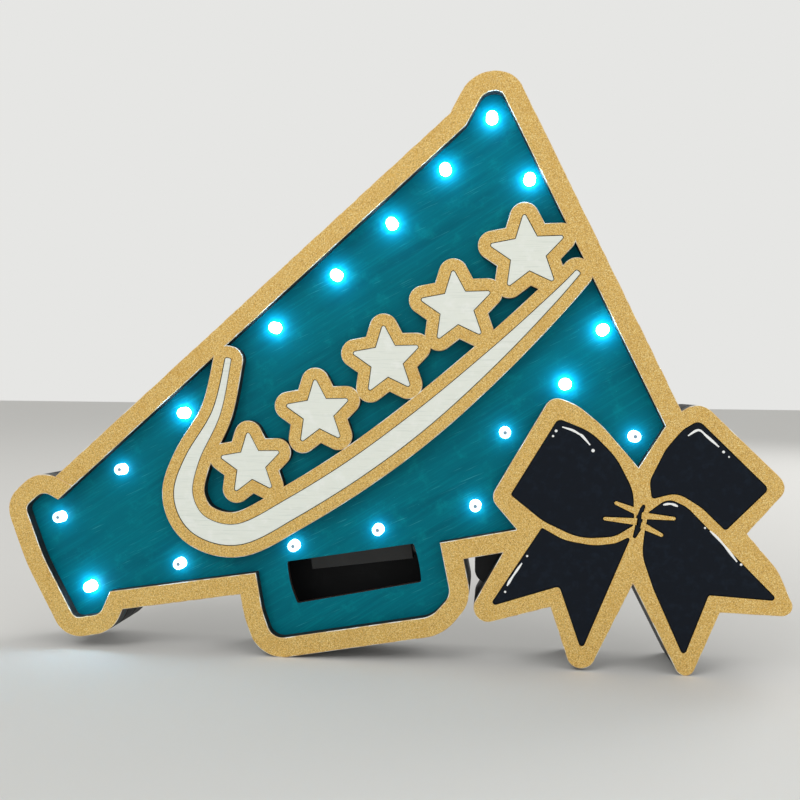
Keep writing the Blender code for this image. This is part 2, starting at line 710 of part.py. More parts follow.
def switch_height():
    """The middle of the switch bay, up the case."""
    return CASE_WALL + SWITCH_BAY / 2


def build_lid():
    """The sliding lid, with finger ridges near its lower end."""
    width, length = case_size()
    floor = 2 * CASE_WALL + SWITCH_BAY - CASE_WALL / 2
    lid = box("battery_lid", (-width / 2, -LID_THICKNESS, floor), (width / 2, 0, length), "black_plastic", sign, 0.4 * MM)
    ridges = make_collection("lid_ridges", cutters)
    for number in range(LID_RIDGES):
        low = floor + (4 + 3 * number) * MM
        ridge = box(f"lid_ridge_{number}", (-width / 5, -LID_THICKNESS / 2, low),
                    (width / 5, RIDGE_HEIGHT, low + 1.2 * MM), "black_plastic", ridges)
        ridge.matrix_world = case_matrix()
        as_cutter(ridge)
    lid.matrix_world = case_matrix()
    combine(lid, "UNION", ridges)


def build_switch():
    """The slide switch: its body in the bay, and the slider whose knob comes through the slot."""
    centre = switch_height()
    start = -SWITCH_TRAVEL / 2
    rear = -CASE_WALL - FIT
    slider = box("battery_switch", (start - SLIDER_WIDTH / 2, rear - SLIDER_THICKNESS, centre - SLIDER_HEIGHT / 2),
                 (start + SLIDER_WIDTH / 2, rear, centre + SLIDER_HEIGHT / 2), "black_plastic", sign)
    knob = box("switch_knob", (start - KNOB_WIDTH / 2, rear - SLIDER_THICKNESS / 2, centre - KNOB_HEIGHT / 2),
               (start + KNOB_WIDTH / 2, KNOB_PROUD, centre + KNOB_HEIGHT / 2), "black_plastic", cutters)
    knob.matrix_world = slider.matrix_world = case_matrix()
    combine(slider, "UNION", as_cutter(knob))
    wide, high, deep = SWITCH_BODY
    behind = rear - SLIDER_THICKNESS - FIT
    body = box("switch_body", (-wide / 2, behind - deep, centre - high / 2), (wide / 2, behind, centre + high / 2),
               "plated_steel", sign, 0.3 * MM)
    body.matrix_world = case_matrix()


def build_cells():
    """Three cells, turned end for end, each with a spring at its foot and a plate at its nub."""
    _, bay_length = cell_bay()
    bay_floor = 2 * CASE_WALL + SWITCH_BAY
    depth = -CASE_DEPTH + CASE_WALL + CELL_DEPTH_CLEARANCE + CELL_RADIUS
    pitch = 2 * CELL_RADIUS + CELL_SPACING
    cell_profile = (
        (0, CELL_LENGTH), (CELL_NUB_RADIUS, CELL_LENGTH), (CELL_NUB_RADIUS, CELL_LENGTH - CELL_NUB),
        (CELL_RADIUS, CELL_LENGTH - CELL_NUB), (CELL_RADIUS, 0), (0, 0),
    )
    for number in range(CELL_COUNT):
        across = (number - (CELL_COUNT - 1) / 2) * pitch
        frame = case_matrix() @ Matrix.Translation((across, depth, bay_floor))
        if number % 2:
            frame = frame @ Matrix.Translation((0, 0, bay_length)) @ Matrix.Rotation(math.pi, 4, "X")
        cell = turned(f"aa_cell_{number + 1}", cell_profile, CELL_SIDES, "cell_sleeve", sign)
        cell.matrix_world = frame @ Matrix.Translation((0, 0, 2 * FIT + SPRING_LENGTH))
        spring = wire(f"cell_spring_{number + 1}", spring_line(), SPRING_WIRE, "plated_steel", sign)
        spring.matrix_world = frame @ Matrix.Translation((0, 0, FIT))
        low = bay_length - FIT - CONTACT_THICKNESS
        half = CONTACT_WIDTH / 2
        plate = box(f"contact_plate_{number + 1}", (-half, -half, low), (half, half, low + CONTACT_THICKNESS),
                    "plated_steel", sign)
        plate.matrix_world = frame


def spring_line():
    """The conical spring's coil, from its wide foot to its narrow top."""
    points = []
    count = SPRING_TURNS * SPRING_STEPS
    for step in range(count + 1):
        share = step / count
        radius = SPRING_RADIUS + (SPRING_TIP_RADIUS - SPRING_RADIUS) * share
        angle = math.tau * SPRING_TURNS * share
        height = SPRING_WIRE + (SPRING_LENGTH - 2 * SPRING_WIRE) * share
        points.append(Vector((radius * math.cos(angle), radius * math.sin(angle), height)))
    return points


def build_wire():
    """The lamps' lead: out of the case, then behind each lamp in turn."""
    width, _ = case_size()
    frame = case_matrix()
    depth = LEAD_DEPTH - CASE_DEPTH
    exit_points = [
        frame @ Vector((across, depth, LEAD_HOLE_HEIGHT))
        for across in (-width / 2 + 2.5 * CASE_WALL, -width / 2, -width / 2 - 3 * MM)
    ]
    lamp_depth = PANEL_SPAN[1] + GLUE_LINE + LAMP_FLANGE + FIT + WIRE_RADIUS
    first = lamp_spots()[0]
    lead = [
        at_depth(first.x - 5.5 * MM, first.y - 2 * MM, lamp_depth + 5 * MM),
        at_depth(first.x - 7 * MM, first.y + 4 * MM, lamp_depth + 2 * MM),
        at_depth(first.x - 3 * MM, first.y + 6 * MM, lamp_depth + 0.2 * MM),
    ]
    behind = [at_depth(spot.x, spot.y, lamp_depth) for spot in lamp_spots()]
    wire("light_string_wire", smooth_line(exit_points + lead + behind, WIRE_STEPS), WIRE_RADIUS, "wire_sheath", sign)


build_frame()
build_inlays()
build_panel()
build_lamps()
build_rings()
build_backer()
build_back_panel()
place_screws("back_screw", 0, sign)
build_case()
build_lid()
build_switch()
build_cells()
build_wire()
make_cuts()
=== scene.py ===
"""The finished look of a light-up cheer megaphone sign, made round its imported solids.

The sign faces -Y. Its flat pieces are cut from one drawing in millimetres, with depths measured
back from the front face. The drawing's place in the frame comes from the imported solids.
"""

import logging
import math
from collections.abc import Iterator, Sequence
from dataclasses import dataclass, field
from enum import Enum

import bmesh
import bpy
from mathutils import Matrix, Vector


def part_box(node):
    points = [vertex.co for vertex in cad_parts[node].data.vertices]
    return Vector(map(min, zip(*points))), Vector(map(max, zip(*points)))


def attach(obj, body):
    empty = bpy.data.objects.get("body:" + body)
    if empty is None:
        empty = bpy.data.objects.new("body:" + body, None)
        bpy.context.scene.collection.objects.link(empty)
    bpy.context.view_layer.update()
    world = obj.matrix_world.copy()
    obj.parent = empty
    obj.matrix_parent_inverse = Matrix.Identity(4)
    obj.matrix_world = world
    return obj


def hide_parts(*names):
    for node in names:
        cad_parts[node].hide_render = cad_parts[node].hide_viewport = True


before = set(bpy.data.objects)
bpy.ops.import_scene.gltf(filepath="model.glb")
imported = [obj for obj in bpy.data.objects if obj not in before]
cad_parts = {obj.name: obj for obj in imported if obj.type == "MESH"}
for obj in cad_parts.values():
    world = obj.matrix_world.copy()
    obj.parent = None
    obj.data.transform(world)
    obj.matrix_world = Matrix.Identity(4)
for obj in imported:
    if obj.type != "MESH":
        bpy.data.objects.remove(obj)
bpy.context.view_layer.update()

LOG = logging.getLogger("cheer_sign")
MM = 0.001

# How far a drawn arc may lie from the true one, and the least radius that is drawn as an arc, in millimetres.
ARC_TOLERANCE = 0.015
LEAST_RADIUS = 0.02
# A cutter runs past its sheet by this much, in millimetres.
OVERRUN = 1.0
# How far the sign's sheets reach round their opening, in millimetres.
BAND = 9.0
# Faces that meet at more than this angle make a sharp edge, and at less than this one a flat face.
SHARP = math.radians(30)
FLAT = math.radians(1)
# How squarely a face looks forwards or back: a cap at least the first, a broken corner at most the second, and a
# cut edge at most the third.
CAP_FACING = 0.99
RIM_FACING = 0.95
EDGE_FACING = 0.5
# Points nearer than these are made one, in metres: while drawing, in a finished piece, and after a Boolean.
DRAWN_MERGE = 1e-6
PIECE_MERGE = 1e-7
BOOLEAN_MERGE = 5e-7
# The values of a noise between which a pattern changes the roughness.
QUIET_NOISE = 0.3
LOUD_NOISE = 0.7

Corner = tuple[float, float, float]
Point = tuple[float, float]


class Body(Enum):
    """The moving bodies of the sign."""

    SIGN = "sign"
    LID = "lid"
    SWITCH = "switch"


class Slot(Enum):
    """The record's material slots."""

    GOLD = "gold_paint"
    WHITE = "white_paint"
    TEAL = "teal_paint"
    BLACK = "black_paint"
    BOW = "bow_black"
    LAMP = "lamp_epoxy"
    STEEL = "plated_steel"
    PLASTIC = "case_plastic"
    SLEEVE = "cell_sleeve"


class Operation(Enum):
    """What one solid does to another."""

    CUT = "DIFFERENCE"
    JOIN = "UNION"


# The drawing. A corner is (x, z, radius), in millimetres, going round anticlockwise.
OPENING: tuple[Corner, ...] = (
    (-170.5, 66, 4), (-161.5, 42.5, 90), (-145.8, 14, 4), (-133.2, 16.2, 6),
    (-128.5, 27.2, 0), (-58.3, 38.4, 0), (-55.2, 21.5, 30), (-50.3, 8, 7),
    (23, 21.4, 12), (31.3, 31, 8), (26.3, 54.8, 0),
    (127, 75, 0), (133.5, 68.8, 5), (143.3, 69.2, 4.5), (51.3, 256.6, 4.5),
    (43.5, 255.3, 7), (36, 241.2, 0), (-154.3, 69.8, 0), (-162, 73.8, 6),
)
SLOT_WINDOW: tuple[Corner, ...] = (
    (-44.8, 43, 1), (-43.6, 33.2, 40), (-39.8, 23.8, 1), (17.7, 35.7, 1), (16.9, 44.6, 60), (14, 53.1, 1),
)
BOW: tuple[Corner, ...] = (
    (48.5, 75.5, 6), (60.2, 61.9, 0), (35, 15.7, 6.4), (75.6, 27.8, 0),
    (88.1, -9.5, 6.3), (111.1, 39.3, 0), (134.1, -5.9, 4.2), (148, 28, 0),
    (180.5, 27.2, 4.5), (172, 47, 25), (158.8, 62.6, 0), (176.3, 83.3, 6),
    (138.5, 120, 8), (126.5, 112.5, 14), (112.8, 90.3, 0), (97, 108.5, 45),
    (86, 117.5, 25), (75, 121.5, 6),
)
BOW_LEFT_LOOP: tuple[Corner, ...] = (
    (78, 111, 2.5), (57.8, 77.2, 1), (72, 66, 25), (88, 58.7, 25), (103, 60, 12),
    (111, 65.3, 2), (110.5, 80, 20), (103, 94.5, 30), (92, 105.5, 25),
)
BOW_RIGHT_LOOP: tuple[Corner, ...] = (
    (138, 111, 3), (131.5, 107, 12), (124.5, 98.5, 20), (117.8, 84.5, 8), (118.8, 77, 1),
    (129.5, 80, 10), (140, 73.5, 20), (149.8, 64, 1), (167.3, 82.2, 2),
)
BOW_LEFT_TAIL: tuple[Corner, ...] = (
    (71.5, 62.6, 0.5), (49, 27.3, 1), (79.5, 37.5, 2), (89.3, 9.5, 1), (109.6, 59.8, 0.5),
    (103.5, 56.6, 12), (94, 55.3, 25), (81, 57.4, 20),
)
BOW_RIGHT_TAIL: tuple[Corner, ...] = (
    (117.5, 70.8, 2), (115.8, 61, 20), (115, 52, 20), (120, 37.5, 40), (133, 8.5, 1),
    (143, 35.8, 1.5), (171.8, 34.3, 1), (144, 62.5, 60), (133.5, 73.3, 12), (125.5, 77, 6),
)
BOW_KNOT: tuple[Corner, ...] = (
    (116.7, 76.6, 0.5), (112.6, 70.5, 6), (111.9, 64.5, 6), (110.4, 57.4, 0.5), (114.4, 64, 8), (114.6, 70, 8),
)
BACKER_LOBE: tuple[Corner, ...] = ((41.9, 35.5, 6), (70, 35.5, 0), (70, 70, 0), (41.9, 70, 0))
LAMPS: tuple[Point, ...] = (
    (-41.3, 50.8), (-95.8, 40.8), (-139.6, 28.5), (-155.1, 61.1), (-124.7, 84.4), (-94.3, 111.4),
    (-51, 151.3), (-22.5, 175.4), (2.8, 198.6), (26.8, 222.7), (47.4, 245.3), (64.4, 217.6),
    (97.2, 150.7), (81.2, 126.5), (111.5, 103.7), (54.8, 104.5), (41.9, 71.3), (-2.2, 59.3),
)
SWEEP: tuple[Point, ...] = (
    (-72, 137), (-77.5, 112), (-89, 90), (-93, 73), (-85, 59.5), (-66, 56), (-41, 69),
    (-10, 89), (21, 113), (52, 141), (76, 165), (86, 176),
)
SWEEP_HALF_WIDTHS = (1.4, 4.8, 4.6, 1.2)


@dataclass(frozen=True)
class SignSpace:
    """Where the drawing's millimetres and the depths behind its face lie in the frame."""

    across: float
    up: float
    face: float

    @classmethod
    def from_solids(cls) -> "SignSpace":
        """The space that puts the drawing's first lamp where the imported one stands.

        Returns:
            The space.
        """
        low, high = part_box("lamp_01")
        middle = (low + high) / 2
        x, z = LAMPS[0]
        return cls(middle.x - x * MM, middle.z - z * MM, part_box("face_frame")[0].y)

    def point(self, x: float, z: float, depth: float) -> Vector:
        """The frame's point at this place in the drawing and this depth, all in millimetres."""
        return Vector((self.across + x * MM, self.face + depth * MM, self.up + z * MM))

    def depths(self, node: str) -> tuple[float, float]:
        """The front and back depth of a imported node, in millimetres."""
        low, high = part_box(node)
        return (low.y - self.face) / MM, (high.y - self.face) / MM


SPACE = SignSpace.from_solids()


# Finishes


def linear(colour: str) -> tuple[float, float, float, float]:
    """The linear colour of an sRGB hex value.

    Args:
        colour: Six hex digits after a hash.

    Returns:
        Linear red, green and blue, and an alpha of 1.
    """
    values = (int(colour[place:place + 2], 16) / 255 for place in (1, 3, 5))
    red, green, blue = (v / 12.92 if v <= 0.04045 else ((v + 0.055) / 1.055) ** 2.4 for v in values)
    return red, green, blue, 1.0


def add(tree: bpy.types.NodeTree, kind: str, inputs: dict | None = None, **settings: object) -> bpy.types.Node:
    """Adds a node with its settings, values and links.

    Args:
        tree: The tree that gets the node.
        kind: The node's type, without its "ShaderNode".
        inputs: What each input, by name or number, takes: a value or another node's output.
        settings: The node's own properties.

    Returns:
        The new node.
    """
    node = tree.nodes.new("ShaderNode" + kind)
    for name, value in settings.items():
        setattr(node, name, value)
    for key, value in (inputs or {}).items():
        if isinstance(value, bpy.types.NodeSocket):
            tree.links.new(value, node.inputs[key])
        else:
            node.inputs[key].default_value = value
    return node


@dataclass(frozen=True)
class Finish:
    """A real finish: its Principled values, and the pattern that its subclass draws."""

    name: str
    colour: str
    roughness: float
    metallic: float = 0.0
    gloss: float = 0.5

    def material(self) -> bpy.types.Material:
        """The finish's material, made once.

        Returns:
            The material.
        """
        if self.name in bpy.data.materials:
            return bpy.data.materials[self.name]
        made = bpy.data.materials.new(self.name)
        made.use_nodes = True
        tree = made.node_tree
        tree.nodes.clear()
        shader = add(tree, "BsdfPrincipled", {
            "Base Color": linear(self.colour), "Roughness": self.roughness, "Metallic": self.metallic,
            "Specular IOR Level": self.gloss,
        })
        add(tree, "OutputMaterial", {"Surface": shader.outputs[0]})
        self.pattern(tree, shader)
        return made

    def pattern(self, tree: bpy.types.NodeTree, shader: bpy.types.Node) -> None:
        """Draws the finish's pattern into its shader. The plain finish has none."""

    @staticmethod
    def grain(
        tree: bpy.types.NodeTree, size: Sequence[float], turn: float = 0.0, detail: float = 3.0, rough: float = 0.55,
    ) -> bpy.types.NodeSocket:
        """A noise whose features have this size along each axis.

        Args:
            tree: The material's tree.
            size: Feature size along X, Y and Z, in millimetres.
            turn: Turn about Y, in radians, that lays the grain's X along a slant.
            detail: The noise's octaves.
            rough: How strong the finer octaves are.

        Returns:
            The noise's value, from 0 to 1.
        """
        place = add(tree, "TexCoord").outputs["Object"]
        if turn:
            place = add(tree, "Mapping", {"Vector": place, "Rotation": (0, turn, 0)}).outputs[0]
        scale = tuple(1 / (length * MM) for length in size)
        place = add(tree, "Mapping", {"Vector": place, "Scale": scale}).outputs[0]
        return add(tree, "TexNoise", {"Vector": place, "Scale": 1.0, "Detail": detail, "Roughness": rough}).outputs[0]

    @staticmethod
    def blend(
        tree: bpy.types.NodeTree, base: object, over: object, share: bpy.types.NodeSocket,
        low: float, high: float, most: float = 1.0,
    ) -> bpy.types.NodeSocket:
        """Lays one colour or value over another where a pattern rises.

        Args:
            tree: The material's tree.
            base: The colour, as hex or an output, where the pattern is under low.
            over: The colour, as hex or an output, where it is over high.
            share: The pattern.
            low: Where the second colour starts.
            high: Where it is full.
            most: How much of the second colour shows at most.

        Returns:
            The mixed colour.
        """
        ramp = add(tree, "MapRange", {0: share, 1: low, 2: high, 3: 0.0, 4: most}, interpolation_type="SMOOTHSTEP")
        ends = [linear(end) if isinstance(end, str) else end for end in (base, over)]
        return add(tree, "Mix", {0: ramp.outputs[0], 6: ends[0], 7: ends[1]}, data_type="RGBA").outputs[2]

    @staticmethod
    def paint(tree: bpy.types.NodeTree, shader: bpy.types.Node, colour: bpy.types.NodeSocket) -> None:
        """Gives the shader its patterned colour."""
        tree.links.new(colour, shader.inputs["Base Color"])

    def vary(
        self, tree: bpy.types.NodeTree, shader: bpy.types.Node, share: bpy.types.NodeSocket, low: float, high: float,
    ) -> None:
        """Varies the roughness with a pattern.

        Args:
            tree: The material's tree.
            shader: The shader.
            share: The pattern.
            low: What is added to the finish's roughness where the pattern is quiet.
            high: What is added where it is loud.
        """
        ends = {0: share, 1: QUIET_NOISE, 2: LOUD_NOISE, 3: self.roughness + low, 4: self.roughness + high}
        tree.links.new(add(tree, "MapRange", ends).outputs[0], shader.inputs["Roughness"])

    @staticmethod
    def bump(
        tree: bpy.types.NodeTree, shader: bpy.types.Node, height: bpy.types.NodeSocket,
        depth: float, strength: float = 1.0,
    ) -> None:
        """Raises the surface by a pattern.

        Args:
            tree: The material's tree.
            shader: The shader.
            height: The pattern.
            depth: How high it rises at most, in millimetres.
            strength: How much of that shows.
        """
        relief = add(tree, "Bump", {"Height": height, "Distance": depth * MM, "Strength": strength})
        tree.links.new(relief.outputs[0], shader.inputs["Normal"])


class GoldAcrylic(Finish):
    """Metallic gold craft acrylic, sponged on plywood: mica flakes in a clear tan binder."""

    def pattern(self, tree: bpy.types.NodeTree, shader: bpy.types.Node) -> None:
        """Clumps of flakes about 0.6 mm across, single flakes painted pale as glints of light, and faint unevenness.

        Args:
            tree: The material's tree.
            shader: Its Principled shader.
        """
        # Flakes are 0.05 mm; they clump, and the clumps are what the eye sees.
        clumps = self.grain(tree, (0.6, 0.6, 0.6), detail=3, rough=0.75)
        drift = self.grain(tree, (11, 11, 11), detail=2)
        flakes = self.grain(tree, (0.5, 0.5, 0.5), detail=2, rough=0.8)
        colour = self.blend(tree, self.colour, "#A87C34", clumps, 0.44, 0.66, 0.8)
        # Painted glints: single flakes painted pale cream, as if they caught the light.
        colour = self.blend(tree, colour, "#FFE9A6", flakes, 0.48, 0.66, 0.85)
        colour = self.blend(tree, colour, "#CDA04A", drift, 0.5, 0.75, 0.3)
        self.paint(tree, shader, colour)
        self.vary(tree, shader, clumps, -0.12, 0.12)
        self.bump(tree, shader, clumps, 0.05, 0.7)


class MattWhite(Finish):
    """Two coats of matt off-white craft paint on plywood, whose grain just shows through."""

    def pattern(self, tree: bpy.types.NodeTree, shader: bpy.types.Node) -> None:
        """Grain lines 0.7 mm apart along X, and a soft mottle where the coat is thinner.

        Args:
            tree: The material's tree.
            shader: Its Principled shader.
        """
        lines = self.grain(tree, (16, 4, 0.7), detail=4, rough=0.6)
        mottle = self.grain(tree, (5, 5, 5), detail=3)
        colour = self.blend(tree, self.colour, "#D6DDD4", lines, 0.5, 0.72, 0.6)
        colour = self.blend(tree, colour, "#F7F9F4", mottle, 0.5, 0.75, 0.5)
        self.paint(tree, shader, colour)
        self.bump(tree, shader, lines, 0.05, 0.5)


class BrushedTeal(Finish):
    """Teal acrylic brushed thin over plywood, in slanted strokes, with a satin varnish."""

    SLANT = math.radians(32)

    def pattern(self, tree: bpy.types.NodeTree, shader: bpy.types.Node) -> None:
        """Bristle lines 0.8 mm apart and 26 mm long, broad bands, thin patches and rare pale scratches.

        Args:
            tree: The material's tree.
            shader: Its Principled shader.
        """
        bristles = self.grain(tree, (26, 8, 0.75), self.SLANT, detail=4, rough=0.65)
        bands = self.grain(tree, (60, 8, 7), self.SLANT, detail=2)
        patches = self.grain(tree, (9, 9, 9), detail=4, rough=0.7)
        scratches = self.grain(tree, (13, 8, 0.45), self.SLANT - 0.12, detail=1)
        specks = self.grain(tree, (0.7, 0.7, 0.7), detail=1)
        colour = self.blend(tree, self.colour, "#02808C", bristles, 0.45, 0.75, 0.7)
        colour = self.blend(tree, colour, "#00586A", bands, 0.48, 0.75, 0.55)
        colour = self.blend(tree, colour, "#078E96", patches, 0.52, 0.75, 0.45)
        colour = self.blend(tree, colour, "#3AA3A8", scratches, 0.7, 0.78, 0.45)
        colour = self.blend(tree, colour, "#2C9AA2", specks, 0.74, 0.8, 0.6)
        self.paint(tree, shader, colour)
        self.vary(tree, shader, bristles, -0.1, 0.12)
        self.bump(tree, shader, bristles, 0.06, 0.6)


class BowPaint(Finish):
    """Matt blue-black craft paint on plywood."""

    def pattern(self, tree: bpy.types.NodeTree, shader: bpy.types.Node) -> None:
        """A faint mottle 3 mm across, and the grain as low relief.

        Args:
            tree: The material's tree.
            shader: Its Principled shader.
        """
        mottle = self.grain(tree, (3, 3, 3), detail=4)
        lines = self.grain(tree, (14, 4, 0.8), detail=3)
        colour = self.blend(tree, self.colour, "#19212C", mottle, 0.45, 0.75, 0.8)
        self.paint(tree, shader, colour)
        self.vary(tree, shader, mottle, -0.08, 0.08)
        self.bump(tree, shader, lines, 0.05, 0.45)


class RolledBlack(Finish):
    """Matt black emulsion rolled on plywood: a fine orange-peel stipple."""

    def pattern(self, tree: bpy.types.NodeTree, shader: bpy.types.Node) -> None:
        """Stipple 1.2 mm across, and paler, rubbed patches 15 mm across.

        Args:
            tree: The material's tree.
            shader: Its Principled shader.
        """
        stipple = self.grain(tree, (1.2, 1.2, 1.2), detail=3)
        rubbed = self.grain(tree, (15, 15, 15), detail=5, rough=0.7)
        lines = self.grain(tree, (22, 5, 1.1), detail=3)
        colour = self.blend(tree, self.colour, "#1F2022", rubbed, 0.5, 0.8, 0.5)
        colour = self.blend(tree, colour, "#0D0E10", lines, 0.55, 0.75, 0.6)
        self.paint(tree, shader, colour)
        self.vary(tree, shader, rubbed, 0.06, -0.08)
        self.bump(tree, shader, stipple, 0.06, 0.6)


class PaintedEdgeHighlight(Finish):
    """The broken corner of the gold sheet's edge, painted pale as a highlight where the lamps' light catches it."""

    def pattern(self, tree: bpy.types.NodeTree, shader: bpy.types.Node) -> None:
        """The painted highlight, broken by stretches of gold about 6 mm long."""
        highlight_breaks = self.grain(tree, (6, 6, 6), detail=3)
        self.paint(tree, shader, self.blend(tree, self.colour, "#DDB368", highlight_breaks, 0.4, 0.56, 0.85))


@dataclass(frozen=True)
class LaserEdge(Finish):
    """The edge that a laser leaves on plywood: charred brown, with lines along the beam."""

    char: str = "#0A0705"

    def pattern(self, tree: bpy.types.NodeTree, shader: bpy.types.Node) -> None:
        """Beam lines 0.5 mm apart across the sheet, and the three plies, about 1 mm each.

        Args:
            tree: The material's tree.
            shader: Its Principled shader.
        """
        beam = self.grain(tree, (0.5, 12, 0.5), detail=2)
        plies = self.grain(tree, (40, 1.1, 40), detail=1)
        colour = self.blend(tree, self.colour, self.char, beam, 0.4, 0.65)
        colour = self.blend(tree, colour, self.char, plies, 0.45, 0.6, 0.7)
        self.paint(tree, shader, colour)
        self.bump(tree, shader, beam, 0.08, 0.7)


class BrushStroke(Finish):
    """White paint pen on the black bow: thick, glossier, a little uneven."""

    def pattern(self, tree: bpy.types.NodeTree, shader: bpy.types.Node) -> None:
        """Ridges 0.5 mm apart, left by the pen.

        Args:
            tree: The material's tree.
            shader: Its Principled shader.
        """
        ridges = self.grain(tree, (0.5, 0.5, 0.5), detail=2)
        self.paint(tree, shader, self.blend(tree, self.colour, "#E2E6E4", ridges, 0.5, 0.75, 0.5))
        self.bump(tree, shader, ridges, 0.03, 0.6)


@dataclass(frozen=True)
class LitEpoxy(Finish):
    """A clear epoxy lamp, lit cool white: the chip's light fills the lens and is bluer at its rim."""

    rim: str = "#5CD0FF"
    centre: str = "#F4FCFF"
    side: str = "#A6DAFF"
    strength: float = 42.0

    def pattern(self, tree: bpy.types.NodeTree, shader: bpy.types.Node) -> None:
        """Reads how far each point of the lens is from the lamp's axis.

        Args:
            tree: The material's tree.
            shader: Its Principled shader.
        """
        spread = add(tree, "Attribute", attribute_name="from_axis").outputs["Fac"]
        # The chip and its lead frame stand dark in the middle of a lamp that glows less.
        light = self.blend(tree, self.centre, self.colour, spread, 0.26, 0.5)
        light = self.blend(tree, light, self.rim, spread, 0.6, 0.95)
        # The wall of the lens, which lights the panel round it, and the foot, which stays dark.
        light = self.blend(tree, light, self.side, spread, 0.96, 1.0)
        light = self.blend(tree, light, "#000000", spread, 1.2, 1.6)
        tree.links.new(light, shader.inputs["Emission Color"])
        shader.inputs["Emission Strength"].default_value = self.strength


class MouldedPlastic(Finish):
    """Black ABS out of a spark-textured mould: an even, fine satin grain."""

    def pattern(self, tree: bpy.types.NodeTree, shader: bpy.types.Node) -> None:
        """Texture 0.5 mm across: the real one is about 0.1 mm, too fine to show.

        Args:
            tree: The material's tree.
            shader: Its Principled shader.
        """
        texture = self.grain(tree, (0.5, 0.5, 0.5), detail=2)
        handled = self.grain(tree, (12, 12, 12), detail=4)
        self.paint(tree, shader, self.blend(tree, self.colour, "#232324", handled, 0.5, 0.8, 0.7))
        self.vary(tree, shader, handled, 0.08, -0.08)
        self.bump(tree, shader, texture, 0.03, 0.5)


class ZincPlate(Finish):
    """Bright zinc plating on steel: faint drawing lines and a slight haze."""

    def pattern(self, tree: bpy.types.NodeTree, shader: bpy.types.Node) -> None:
        """Haze 2 mm across in the gloss and tone.

        Args:
            tree: The material's tree.
            shader: Its Principled shader.
        """
        haze = self.grain(tree, (2, 2, 2), detail=4, rough=0.65)
        self.paint(tree, shader, self.blend(tree, self.colour, "#9C9C93", haze, 0.5, 0.75, 0.7))
        self.vary(tree, shader, haze, -0.08, 0.14)


class SmoothSheath(Finish):
    """Plain extruded or shrunk vinyl: glossy, with slight waviness."""

    def pattern(self, tree: bpy.types.NodeTree, shader: bpy.types.Node) -> None:
        """Waves 4 mm across.

        Args:
            tree: The material's tree.
            shader: Its Principled shader.
        """
        waves = self.grain(tree, (4, 4, 4), detail=2)
        self.vary(tree, shader, waves, -0.06, 0.1)
        self.bump(tree, shader, waves, 0.05, 0.4)


GOLD = GoldAcrylic("sponged metallic gold acrylic on plywood", "#E0B55C", 0.46, 0.3)
# A pale painted highlight for the broken corners of the gold sheet's edges.
PAINTED_EDGE_HIGHLIGHT = PaintedEdgeHighlight("gold edge with painted highlight", "#F2EFE4", 0.5)
WHITE = MattWhite("matt off-white paint on plywood", "#ECF0E7", 0.62, gloss=0.3)
TEAL = BrushedTeal("brushed teal acrylic on plywood", "#006C7C", 0.42, gloss=0.06)
BOW_BLACK = BowPaint("matt blue-black paint on plywood", "#10161F", 0.66, gloss=0.12)
BLACK = RolledBlack("rolled matt black paint on plywood", "#121315", 0.6, gloss=0.3)
CHARRED = LaserEdge("laser-charred plywood edge", "#2A1A12", 0.48)
BROWNED = LaserEdge("laser-browned plywood edge", "#40261A", 0.55, char="#1C100B")
PEN_WHITE = BrushStroke("white paint pen", "#FCFDFC", 0.4)
LIT_EPOXY = LitEpoxy("clear epoxy lamp lit cool white", "#F4FCFF", 0.12)
DIM_EPOXY = LitEpoxy(
    "clear epoxy lamp dimly lit", "#70777A", 0.12, rim="#587884", centre="#0A1A22", side="#A6DAFF", strength=14.0,
)
ABS = MouldedPlastic("spark-textured black ABS", "#171717", 0.36, gloss=0.5)
NYLON = MouldedPlastic("glass-filled dark nylon", "#2C2D30", 0.5)
ZINC = ZincPlate("bright zinc-plated steel", "#C9CAC6", 0.24, 1.0)
DARK_SLEEVE = SmoothSheath("black vinyl cell sleeve", "#1D1F23", 0.28)
COPPER_SLEEVE = SmoothSheath("copper-coloured vinyl cell sleeve", "#B0703C", 0.3, 0.6)
PVC = SmoothSheath("black PVC wire sheath", "#17181A", 0.45)


# Shapes


@dataclass(frozen=True)
class Bend:
    """One corner of an outline, with what an offset or an arc there needs."""

    spot: Vector
    back: Vector
    outward: Vector
    turn: float
    radius: float


